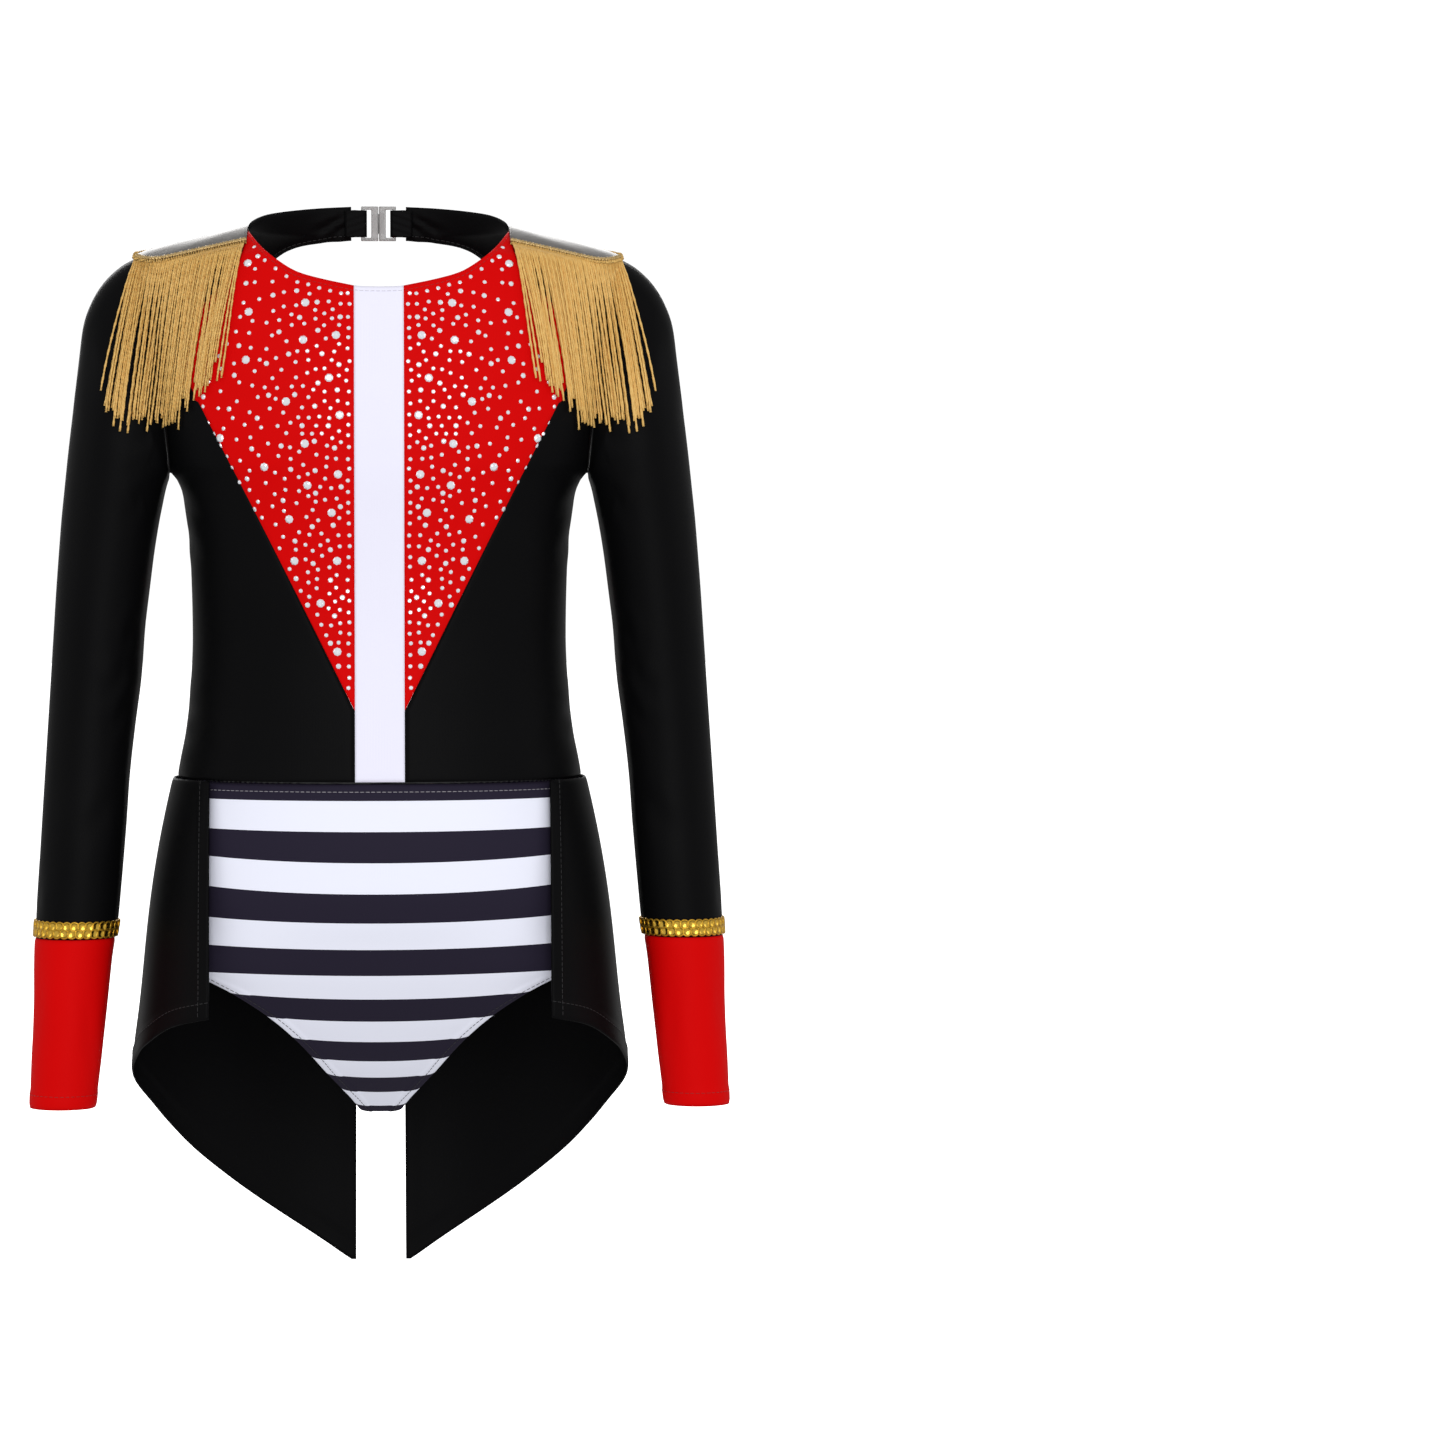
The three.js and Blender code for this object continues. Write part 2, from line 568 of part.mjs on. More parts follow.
// Levels at which the strip's long edges bend, shared with the red panels
function stripLevels() {
  const count = SHOULDER_LEVELS.length + CHEST_LEVELS.length - 1;
  return shares(count).map((share) => mix(NECKLINE[0].z, RED_TIP_Z, share));
}

// White strip down the centre front
function centreStripSheet() {
  const levels = [...stripLevels(), -296, -310, WAIST_Z];
  const rows = levels.map((z) =>
    [-1, 0, 1].map((side) => {
      const angle = side * body.angleAt(STRIP_HALF, z, false);
      return body.place({ angle, z: side === 0 && z === levels[0] ? z - 0.6 : z });
    }),
  );
  return sheetOf(rows);
}

// Black side panel: from the red seam to the armhole, and below the underarm on to the open back's edge
function sidePanelSheet() {
  const shoulder = [NECK_POINT_Z - 1, ...SHOULDER_LEVELS.slice(1)];
  const levels = [...shoulder, ...CHEST_LEVELS, ...DIAGONAL_LEVELS, ...WAIST_LEVELS, WAIST_Z];
  const rows = levels.map((z) => {
    const seamX = z > RED_TIP_Z ? redSeam(z).x : STRIP_HALF;
    const start = body.angleAt(seamX, z, false);
    const isBelowArm = z <= UNDERARM_Z;
    const isShoulder = z >= SHOULDER_TIP_Z;
    const end = isBelowArm || isShoulder ? 90 : body.angleAt(armholeFront(z).x, z, false);
    const spots = shares(5).map((share) => ({ angle: mix(start, end, share), z }));
    if (isBelowArm) {
      const edge = backEdge(z).angle;
      spots.push(...[1, 2, 3].map((k) => ({ angle: mix(90, edge, k / 3), z })));
    }
    if (z === WAIST_LEVELS.at(-1)) spots.push(...WAIST_END);
    if (z === WAIST_Z) spots.push(...WAIST_END.map(({ angle }) => ({ angle, z })));
    return spots.map((spot) => body.place(spot));
  });
  return sheetOf(rows);
}

// Back shoulder and neck strap: a long strip that follows the armhole, shoulder seam and neck
function backYokeSheet() {
  const rows = YOKE.map(({ outX, outZ, inX, inZ }) => {
    const outer = body.angleAt(outX, outZ, true);
    const inner = body.angleAt(inX, inZ, true);
    const isNeckStrap = outZ > NECK_POINT_Z;
    return shares(3).map((share) => {
      const z = mix(outZ, inZ, share);
      const across = body.angleAt(mix(outX, inX, share), z, true);
      return body.place({ angle: isNeckStrap ? across : mix(outer, inner, share), z });
    });
  });
  return sheetOf(rows);
}

// The armhole as a loop of points, from the shoulder tip down the back and up the front
function armholeLoop() {
  const back = YOKE.slice(0, ARMHOLE_STATIONS).reverse();
  const backPoints = back.map(({ outX, outZ }) => body.point(body.angleAt(outX, outZ, true), outZ));
  const front = ARMHOLE_FRONT.slice(1, -1).reverse();
  const frontPoints = front.map(({ x, z }) => body.point(body.angleAt(x, z, false), z));
  return [...backPoints, ...frontPoints];
}

// Angle of each armhole point round the arm, by its share of the way from shoulder tip to underarm
function armAngles(loop) {
  const half = ARMHOLE_STATIONS - 1;
  const lengths = loop.map((point, k) => point.distanceTo(loop[(k + 1) % loop.length]));
  const sum = (list) => list.reduce((total, value) => total + value, 0);
  const backLength = sum(lengths.slice(0, half));
  const frontLength = sum(lengths.slice(half));
  return loop.map((_, k) =>
    k <= half
      ? (Math.PI * sum(lengths.slice(0, k))) / backLength
      : Math.PI + (Math.PI * sum(lengths.slice(half, k))) / frontLength,
  );
}

// Rings of the whole arm, shoulder to cuff hem, with outward directions
function armRings() {
  const loop = armholeLoop();
  const angles = armAngles(loop);
  const ellipsePoint = (row, angle) => {
    const outward = new THREE.Vector3((row.outX - row.inX) / 2, 0, (row.outZ - row.inZ) / 2);
    const middle = new THREE.Vector3((row.outX + row.inX) / 2, row.y, (row.outZ + row.inZ) / 2);
    middle.addScaledVector(outward, Math.cos(angle));
    middle.y += row.depth * Math.sin(angle);
    return middle;
  };
  const rings = ARM.map((row) =>
    loop.map((point, k) => {
      const own = point.clone().sub(ellipsePoint(ARM[0], angles[k]));
      return ellipsePoint(row, angles[k]).addScaledVector(own, row.share);
    }),
  );
  return rings.map((ring, i) =>
    ring.map((point, k) => {
      const next = ring[(k + 1) % ring.length];
      const around = next.clone().sub(ring.at(k - 1));
      const along = rings[Math.min(i + 1, rings.length - 1)][k].clone().sub(rings[Math.max(i - 1, 0)][k]);
      return { point, normal: along.cross(around).normalize() };
    }),
  );
}

// Braid on the cuff seam, laid on the arm's own points
function braidSheet(rings) {
  const seam = rings[SLEEVE_END_ROW];
  const neighbours = { up: rings[SLEEVE_END_ROW - 1], down: rings[SLEEVE_END_ROW + 1] };
  const rows = BRAID.map(({ up }) => {
    const other = up > 0 ? neighbours.up : neighbours.down;
    return seam.map(({ point, normal }, k) => {
      const share = up / (other[k].point.z - point.z);
      return { point: point.clone().lerp(other[k].point, share), normal };
    });
  });
  return sheetOf(rows, true);
}

// A row across the brief: level along the centre line, turning back to its two ends
function briefRow({ midY, midZ, endX, endY, endZ }) {
  const power = 2 / BRIEF_FULLNESS;
  return shares(12).map((share) => {
    const turn = (share * 2 - 1) * (Math.PI / 2);
    const out = Math.sign(turn) * Math.abs(Math.sin(turn)) ** power;
    const near = Math.cos(turn) > 1e-9 ? Math.cos(turn) ** power : 0;
    return new THREE.Vector3(endX * out, mix(endY, midY, near), mix(endZ, midZ, near));
  });
}

function briefSheet(table) {
  const grid = table.map(briefRow);
  const facing = Math.sign(table[0].midY);
  const rows = grid.map((row, i) =>
    row.map((point, j) => {
      const above = grid[Math.max(i - 1, 0)][j];
      const below = grid[Math.min(i + 1, grid.length - 1)][j];
      const across = row[Math.min(j + 1, row.length - 1)].clone().sub(row[Math.max(j - 1, 0)]);
      const normal = below.clone().sub(above).cross(across).multiplyScalar(facing).normalize();
      const isSide = j === 0 || j === row.length - 1;
      if (isSide && i < 5) normal.set(Math.sign(point.x), 0, normal.z).normalize();
      if (i === grid.length - 1) normal.set(normal.x, 0, -1).normalize();
      return { point, normal };
    }),
  );
  return sheetOf(rows);
}

// Left half of the tailcoat skirt, from its front edge round the side to the centre back and its slit
function skirtSheet() {
  const hem = reader(HEM, "angle");
  const slit = reader(SLIT, "z");
  const frontAngle = (z) => skirtForm.angleAt(SKIRT_FRONT_X, z, false);
  const backAngle = (z) => skirtForm.angleAt(z > SLIT_TOP_Z ? 0 : slit(z).x, z, true);
  const spread = (share) => mix(frontAngle(HEM[0].z), backAngle(HEM.at(-1).z), share);
  const drops = [0, 0.09, 0.18, 0.27, 0.36, 0.46, 0.57, 0.68, 0.79, 0.9, 1];
  const rows = drops.map((drop) =>
    shares(15).map((share) => {
      const z = mix(SKIRT_TOP_Z, hem(spread(share)).z, drop);
      return skirtForm.place({ angle: mix(frontAngle(z), backAngle(z), share), z });
    }),
  );
  return sheetOf(rows);
}

// A back strap: a narrow band along its path, under the panel edges at both ends, over its partner in the
// middle by the given rise
function strapSheet(path, rise) {
  const rowAt = reader(path, "angle");
  const [first, last] = [path[0].angle, path.at(-1).angle];
  const rows = shares(26).map((share) => {
    const angle = mix(first, last, share);
    const step = 0.6;
    const centre = body.point(angle, rowAt(angle).z);
    const ahead = body.point(angle + step, rowAt(angle + step).z);
    const behind = body.point(angle - step, rowAt(angle - step).z);
    const normal = body.normal(angle, rowAt(angle).z);
    const across = ahead.sub(behind).cross(normal).normalize();
    const crossing = Math.exp(-(((angle - 180) / CROSSING_SPREAD) ** 2));
    centre.addScaledVector(normal, rise * crossing - CLOTH - STRAP_UNDER);
    const edge = (side) => centre.clone().addScaledVector(across, (side * STRAP_WIDTH) / 2);
    return [{ point: edge(-1), normal }, { point: edge(1), normal }];
  });
  return sheetOf(rows);
}

// The clasp: two plates side by side, each with a slot for the neck strap; the hook's tongue lies on the eye
const CLASP = {
  seam: 0.2,
  slotIn: 4.4,
  slotOut: 8.6,
  end: 10.6,
  slotHeight: 17,
  tongueReach: 4,
  tongueHeight: 12,
};

function claspPlate() {
  const [low, high] = [-CLASP_HEIGHT / 2, CLASP_HEIGHT / 2];
  const outline = new THREE.Shape();
  outline.moveTo(CLASP.seam, low).lineTo(CLASP.end, low).lineTo(CLASP.end, high).lineTo(CLASP.seam, high);
  const slot = new THREE.Path();
  const reach = CLASP.slotHeight / 2;
  slot.moveTo(CLASP.slotIn, -reach).lineTo(CLASP.slotIn, reach);
  slot.lineTo(CLASP.slotOut, reach).lineTo(CLASP.slotOut, -reach);
  outline.holes.push(slot);
  return extruded(outline, CLASP_THICK);
}

// An outline in X and Z, drawn out along +Y from the plane of its own
function extruded(outline, depth) {
  const geometry = new THREE.ExtrudeGeometry(outline, { depth, bevelEnabled: false, curveSegments: 5 });
  geometry.rotateX(Math.PI / 2);
  geometry.translate(0, depth, 0);
  return merged(geometry);
}

// Shared corners joined, faces out
function merged(geometry) {
  const position = geometry.getAttribute("position");
  const keys = new Map();
  const numbers = [];
  const corners = Array.from({ length: position.count }, (_, k) => {
    const corner = [position.getX(k), position.getY(k), position.getZ(k)];
    const key = corner.map((value) => value.toFixed(4)).join(" ");
    if (!keys.has(key)) {
      keys.set(key, keys.size);
      numbers.push(...corner);
    }
    return keys.get(key);
  });
  const faces = [];
  for (let k = 0; k < corners.length; k += 3) faces.push([corners[k], corners[k + 1], corners[k + 2]]);
  return closedGeometry(numbers, faces);
}

function claspHook() {
  const half = CLASP.tongueHeight / 2;
  const rootX = CLASP.slotIn - 1;
  const tongue = new THREE.Shape();
  tongue.moveTo(-CLASP.tongueReach, -half).lineTo(rootX, -half).lineTo(rootX, half);
  tongue.lineTo(-CLASP.tongueReach, half);
  const plate = toSolid(claspPlate());
  const front = toSolid(extruded(tongue, TONGUE_THICK).translate(0, CLASP_THICK + SEAM_GAP, 0));
  const root = new THREE.Shape();
  root.moveTo(1, -half).lineTo(rootX, -half).lineTo(rootX, half).lineTo(1, half);
  const neck = toSolid(extruded(root, CLASP_THICK).translate(0, 0.8, 0));
  return toGeometry(plate.add(neck).add(front));
}

// The strap's end, folded round the clasp's outer bar and brought back on itself
function strapLoopGeometry() {
  const [layer, gap] = [FOLD_LAYER, FOLD_GAP];
  const [inner, outer] = [CLASP.slotOut - gap, NECK_STRAP_END_X - SEAM_GAP];
  const [low, high] = [-gap - layer, CLASP_THICK + gap + layer];
  const fold = new THREE.Shape();
  fold.moveTo(outer, low).lineTo(inner - layer + 0.6, low).lineTo(inner - layer, low + 0.6);
  fold.lineTo(inner - layer, high - 0.6).lineTo(inner - layer + 0.6, high).lineTo(outer, high);
  fold.lineTo(outer, high - layer).lineTo(inner, high - layer);
  fold.lineTo(inner, low + layer).lineTo(outer, low + layer);
  const height = CLASP.slotHeight - 0.8;
  const geometry = new THREE.ExtrudeGeometry(fold, { depth: height, bevelEnabled: false });
  return merged(geometry.translate(0, 0, -height / 2));
}

// Shoulder board: a stiff plate that lies along the shoulder and dips to the front
function boardEdges(share) {
  const rounding = Math.sqrt(Math.max(1 - (Math.max(share - 0.72, 0) / 0.3) ** 2, 0));
  return { front: mix(-13, -37 + 3 * share, rounding), back: mix(-9, 4, rounding) };
}

function boardHeight(x, y) {
  const along = 2.7 - ((x - BOARD_START_X) * BOARD_DROP) / BOARD_LENGTH;
  return along - BOARD_DIP * (Math.min(y, 0) / 37) ** 2 - 0.4 * (Math.max(y, 0) / 6) ** 2;
}

function boardSheet() {
  const rows = shares(12).map((share) => {
    const x = BOARD_START_X + BOARD_LENGTH * share;
    const { front, back } = boardEdges(share);
    return shares(5).map((across) => {
      const y = mix(front, back, across);
      return { point: new THREE.Vector3(x, y, boardHeight(x, y)), normal: new THREE.Vector3(0, 0, 1) };
    });
  });
  return sheetOf(rows);
}

// The line just outside the board's edge, where the fringe's header tape lies: from the neck end along the
// front, round the shoulder tip and back along the rear edge
function headerPath() {
  const along = [0, 0.25, 0.5, 0.72, 0.82, 0.9, 0.96, 1];
  const rim = (edge) => along.map((share) => [BOARD_START_X + BOARD_LENGTH * share, boardEdges(share)[edge]]);
  const outline = [...rim("front"), ...rim("back").reverse()];
  const moved = outline.map(([x, y], k) => {
    const before = outline[Math.max(k - 1, 0)];
    const after = outline[Math.min(k + 1, outline.length - 1)];
    const [alongX, alongY] = [after[0] - before[0], after[1] - before[1]];
    const away = HEADER_AWAY / Math.hypot(alongX, alongY);
    return [x + alongY * away, y - alongX * away];
  });
  return moved.map(([x, y]) => new THREE.Vector3(x, y, boardHeight(x, y) + BOARD_THICK / 2));
}

// Fringe: strands hang from the header tape over the cloth that is under them
function fringeGeometry(cloth) {
  const path = headerPath();
  const ray = new THREE.Raycaster();
  // How far out the cloth comes at a place, seen from the front (facing -1) or the back (1)
  const reachAt = (x, z, facing) => {
    ray.set(new THREE.Vector3(x, facing * 400, z), new THREE.Vector3(0, -facing, 0));
    const [hit] = ray.intersectObjects(cloth, false);
    return hit ? hit.point.y * facing : 0;
  };
  const strand = (root, tip, drops, facing) => {
    const full = root.z - tip.z;
    const levels = [0, ...drops, full];
    const xAt = (drop) => mix(root.x, tip.x, (drop / full) ** 0.8);
    const points = levels.slice(1).map((drop, k) => {
      const above = mix(levels[k], drop, 0.35);
      const below = mix(drop, levels[k + 2] ?? drop + 2, 0.65);
      const probes = shares(6).map((share) => mix(above, below, share));
      const reach = Math.max(...probes.map((probe) => reachAt(xAt(probe), root.z - probe, facing)));
      return new THREE.Vector3(xAt(drop), facing * (reach + CORD_RADIUS + CORD_CLEARANCE), root.z - drop);
    });
    return toSolid(bar([root, ...points], CORD_RADIUS, 3, new THREE.Vector3(1, 0, 0)));
  };
  const half = path.length / 2;
  const rows = [
    { count: FRONT_STRANDS, edge: path.slice(0, half), tips: reader(FRONT_TIPS, "share"), facing: -1 },
    { count: BACK_STRANDS, edge: path.slice(half).reverse(), tips: reader(BACK_TIPS, "share"), facing: 1 },
  ];
  let joined = toSolid(bar(path, HEADER_RADIUS, 4));
  for (const { count, edge, tips, facing } of rows) {
    const line = new THREE.CatmullRomCurve3(edge);
    shares(count - 1).forEach((share, k) => {
      const root = line.getPointAt(mix(0.02, 0.97, share));
      const uneven = 2.5 * Math.sin(k * 2.4) + 1.5 * Math.sin(k * 5.1);
      const end = tips(share);
      const drops = facing < 0 ? FRONT_DROPS : BACK_DROPS;
      joined = joined.add(strand(root, { x: end.x, z: end.z + uneven }, drops, facing));
    });
  }
  return toGeometry(joined);
}

// Finishes
const finish = (color, roughness, metalness) => {
  return new THREE.MeshStandardMaterial({ color, roughness, metalness });
};
const blackJersey = () => finish(0x161616, 0.75, 0);
const redJersey = () => finish(0xd00505, 0.7, 0);
const whiteJersey = () => finish(0xefeefe, 0.75, 0);
const stripedJersey = () => finish(0x8e8d94, 0.75, 0);
const clearPlastic = () => finish(0xd6d6d6, 0.25, 0);
const foilCloth = () => finish(0x9c9a98, 0.35, 0.7);
const goldCord = () => finish(0xb38c4b, 0.55, 0.3);
const goldBraid = () => finish(0xc18e30, 0.4, 0.5);

const piece = (name, geometry, material) => {
  const mesh = new THREE.Mesh(geometry, material);
  mesh.name = name;
  return mesh;
};

// A left piece and its mirror image
const pair = (name, geometry, makeMaterial) => {
  const both = new THREE.Group();
  both.add(piece(name + "_left", geometry, makeMaterial()));
  both.add(piece(name + "_right", mirrored(geometry), makeMaterial()));
  return both;
};

const costume = new THREE.Group();

const bodice = new THREE.Group();
const redFront = wall(drawIn(redFrontSheet()));
const sidePanel = wall(drawIn(sidePanelSheet()));
const backYoke = wall(drawIn(backYokeSheet()));
bodice.add(piece("centre_strip", wall(drawIn(centreStripSheet())), whiteJersey()));
bodice.add(pair("red_front", redFront, redJersey));
bodice.add(pair("side_panel", sidePanel, blackJersey));
bodice.add(pair("back_yoke", backYoke, blackJersey));

const straps = [
  { name: "back_strap_1", path: UPPER_STRAP, rise: STRAP_RISE, isMirrored: false },
  { name: "back_strap_2", path: UPPER_STRAP, rise: 0, isMirrored: true },
  { name: "back_strap_3", path: LOWER_STRAP, rise: 0, isMirrored: false },
  { name: "back_strap_4", path: LOWER_STRAP, rise: STRAP_RISE, isMirrored: true },
];
for (const { name, path, rise, isMirrored } of straps) {
  const strap = wall(strapSheet(path, rise), STRAP_THICK);
  bodice.add(piece(name, isMirrored ? mirrored(strap) : strap, redJersey()));
}

const rings = armRings();
const sleeve = wall(drawIn(sheetOf(rings.slice(0, SLEEVE_END_ROW + 1), true)));
const arms = new THREE.Group();
arms.add(pair("sleeve", sleeve, blackJersey));
arms.add(pair("cuff", wall(drawIn(sheetOf(rings.slice(SLEEVE_END_ROW), true))), redJersey));
const braidThick = BRAID.flatMap(({ thick }) => rings[0].map(() => thick));
const braidRise = braidThick.map((thick) => thick + BRAID_CLEARANCE);
arms.add(pair("cuff_trim", wall(braidSheet(rings), braidThick, braidRise), goldBraid));

const lower = new THREE.Group();
lower.add(piece("brief_front", wall(drawIn(briefSheet(BRIEF_FRONT))), stripedJersey()));
lower.add(piece("brief_back", wall(drawIn(briefSheet(BRIEF_BACK))), stripedJersey()));
lower.add(pair("skirt", wall(drawIn(skirtSheet())), blackJersey));

// The clasp sits on the centre back of the neck
const neckBack = body.point(180, CLASP_MID_Z).y;
const clasp = new THREE.Group();
clasp.position.set(0, neckBack - CLOTH / 2 - CLASP_THICK / 2, CLASP_MID_Z);
clasp.add(piece("clasp_hook", claspHook(), clearPlastic()));
clasp.add(piece("clasp_eye", mirrored(claspPlate()), clearPlastic()));
clasp.add(pair("strap_loop", strapLoopGeometry(), blackJersey));

const shoulders = new THREE.Group();
const underFringe = [redFront, sidePanel, backYoke, sleeve].map((geometry) => new THREE.Mesh(geometry));
shoulders.add(pair("shoulder_board", wall(boardSheet(), BOARD_THICK, BOARD_THICK), foilCloth));
shoulders.add(pair("fringe", fringeGeometry(underFringe), goldCord));

costume.add(bodice, arms, lower, clasp, shoulders);

export default costume;
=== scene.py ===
# %% [markdown]
# # A majorette costume, sewn in mesh code
#
# The costume is a stretch leotard with an open, strapped back, a short tailcoat skirt and fringed shoulder
# boards. The solids already hold its true form. This script puts the real surfaces on them: thin cloth with
# hems, seams and soft creases, glued stones, thread, braid, foil and cord.
#
# Everything here is in the frame of the solids: +Z is up, the front faces -Y, the wearer's left is +X, and
# the origin is the middle of the neck opening. Sizes are written in millimetres, as on a paper pattern, and
# are turned to metres when a mesh is made.

# %% [markdown]
# ## Loading the frame
#
# The frame is the imported model of the solids: its nodes, its one body and its finishes. Each piece made here
# that stands for a solid hides that solid.

import math

import bpy
import numpy as np
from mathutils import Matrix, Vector
from mathutils.bvhtree import BVHTree
from mathutils.kdtree import KDTree


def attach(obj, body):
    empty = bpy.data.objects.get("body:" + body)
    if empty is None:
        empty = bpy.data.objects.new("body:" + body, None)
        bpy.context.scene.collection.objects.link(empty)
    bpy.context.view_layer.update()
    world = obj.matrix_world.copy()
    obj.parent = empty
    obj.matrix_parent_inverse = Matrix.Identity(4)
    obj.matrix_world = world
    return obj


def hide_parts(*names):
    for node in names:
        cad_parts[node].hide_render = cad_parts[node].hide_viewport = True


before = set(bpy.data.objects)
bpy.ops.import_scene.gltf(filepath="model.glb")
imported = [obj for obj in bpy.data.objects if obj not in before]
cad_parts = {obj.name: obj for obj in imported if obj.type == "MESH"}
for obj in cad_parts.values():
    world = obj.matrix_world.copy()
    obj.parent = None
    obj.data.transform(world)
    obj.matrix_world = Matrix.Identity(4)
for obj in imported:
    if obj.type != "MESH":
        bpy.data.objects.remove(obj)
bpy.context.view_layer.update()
MM = 0.001

# %% [markdown]
# ## Reading a pattern table
#
# A dressmaker's table gives a few measured places, and the cloth runs smoothly between them. A plain spline
# would swing past the measured places, which shows as bulges. The slopes used here are harmonic means of the
# slopes on both sides, so a curve never overshoots its table.

# %% Curves through tables


def curve_through(table, column=0):
    rows = np.array(sorted(table, key=lambda row: row[column]), float)
    at, values = rows[:, column], np.delete(rows, column, axis=1)
    secants = np.diff(values, axis=0) / np.diff(at)[:, None]
    before, after = np.vstack([secants[:1], secants]), np.vstack([secants, secants[-1:]])
    same_way = before * after > 0
    slopes = np.where(same_way, 2 * before * after / np.where(same_way, before + after, 1), 0)

    def read(value):
        value = np.clip(value, at[0], at[-1])
        i = np.clip(np.searchsorted(at, value, side="right") - 1, 0, len(at) - 2)
        length = (at[i + 1] - at[i])[..., None]
        t = (value - at[i])[..., None] / length
        rise = t * t * (3 - 2 * t)
        bend = slopes[i] * t * (1 - t) ** 2 - slopes[i + 1] * t * t * (1 - t)
        return values[i] * (1 - rise) + values[i + 1] * rise + bend * length

    return read


def by_row(table):
    """The same reading, for a table whose rows are simply numbered."""
    return curve_through([(number, *row) for number, row in enumerate(table)])


def mix(a, b, share):
    return a + (b - a) * share


def smooth_step(value, low, high):
    t = np.clip((value - low) / (high - low), 0, 1)
    return t * t * (3 - 2 * t)


# %% [markdown]
# ## The figure under the cloth
#
# Stretch cloth takes the shape of what fills it. The figure is described by level sections: a half width and
# a depth for the front and for the back at each height, joined by a rounded outline that is a little squarer
# than an ellipse. Angles go round from the front centre (0) by the left side (90) to the centre back (180).

# %% The filled-out bodice and skirt
NECK_POINT_Z, SHOULDER_TIP_Z, UNDERARM_Z, WAIST_Z = 1.8, -14, -141.5, -323.5
STRIP_HALF, RED_CORNER_Z, RED_TIP_Z = 14.6, -99, -282

BODY = [  # z, half width in front, half width behind, depth in front, depth behind
    (24, 74, 74, 38, 58), (10, 76, 76, 39, 59), (1.8, 78.6, 78.6, 41, 60), (-1.5, 91, 91, 43, 60.5),
    (-5.5, 107.5, 107.5, 46, 61.5), (-10, 126.5, 126.5, 50, 63), (-14, 143.2, 143.2, 55, 65),
    (-26, 146, 147, 62, 70), (-42, 146, 148.7, 69, 73.5), (-78, 142, 150, 79, 77),
    (-99, 138.5, 149.5, 82.5, 78), (-125, 132, 144, 84.5, 78), (-134, 129, 138, 84.5, 77.5),
    (-139.5, 126.5, 130.5, 84.4, 77), (-141.5, 124.5, 124.5, 84.2, 76.8), (-147, 120.3, 120.3, 83.6, 76.3),
    (-171, 114.5, 114.5, 80, 74), (-207, 112, 112, 76, 71), (-240, 111.5, 111.5, 74.5, 71),
    (-279, 113.7, 113.7, 76, 74), (-308, 118, 118, 79, 78.5), (-330, 122, 122, 81.5, 82),
]
SKIRT = [
    (-323, 123.4, 123.4, 83.6, 84.4), (-342, 127.8, 127.8, 89, 91.6), (-365, 132.6, 132.6, 92.8, 98.2),
    (-388, 136.6, 136.6, 94.5, 101.8), (-408, 139.4, 139.4, 95.5, 104.5), (-459, 145, 145, 98, 109),
    (-495, 149.2, 149.2, 100, 112), (-560, 152.5, 152.5, 100, 115.5), (-634, 155, 155, 100, 118),
]


class Figure:
    def __init__(self, levels, fullness):
        self.read = curve_through(levels)
        self.power = 2 / fullness

    def point(self, angle, z):
        angle, z = np.broadcast_arrays(np.asarray(angle, float), np.asarray(z, float))
        half_front, half_back, front, back = np.moveaxis(self.read(z), -1, 0)
        sine, cosine = np.sin(np.radians(angle)), np.cos(np.radians(angle))
        half = np.where(cosine > 0, half_front, half_back)
        depth = np.where(cosine > 0, -front, back)
        x = half * np.sign(sine) * np.abs(sine) ** self.power
        return np.stack([x, depth * np.abs(cosine) ** self.power, z], -1)

    def normal(self, angle, z):
        around = self.point(angle + 0.5, z) - self.point(angle - 0.5, z)
        up = self.point(angle, z + 0.4) - self.point(angle, z - 0.4)
        return unit(np.cross(around, up))

    def angle_at(self, x, z, is_back=False):
        ratio = np.clip(x / self.read(np.asarray(z, float))[..., int(is_back)], 0, 1)
        angle = np.degrees(np.arcsin(ratio ** (1 / self.power)))
        return 180 - angle if is_back else angle


def unit(vectors):
    return vectors / np.maximum(np.linalg.norm(vectors, axis=-1, keepdims=True), 1e-12)


body = Figure(BODY, 2.3)
skirt_form = Figure(SKIRT, 2.2)
print("waist", np.round(body.read(np.array(WAIST_Z)), 1), "mm half widths and depths")

# %% [markdown]
# ## From a grid of points to cloth
#
# A sheet of cloth is a grid of points on the figure, with the direction that faces out at each point. It
# could be given thickness with the Solidify modifier. Here the second side is made by hand, since hems are
# thicker than single cloth and the edges have to roll in where two panels are sewn together. Each point also
# keeps its place on the flat cloth in metres, as a UV map, so that a stripe or a knit has its real size.

# %% Sheets
CLOTH = 1.0  # one layer of jersey with its seam allowance


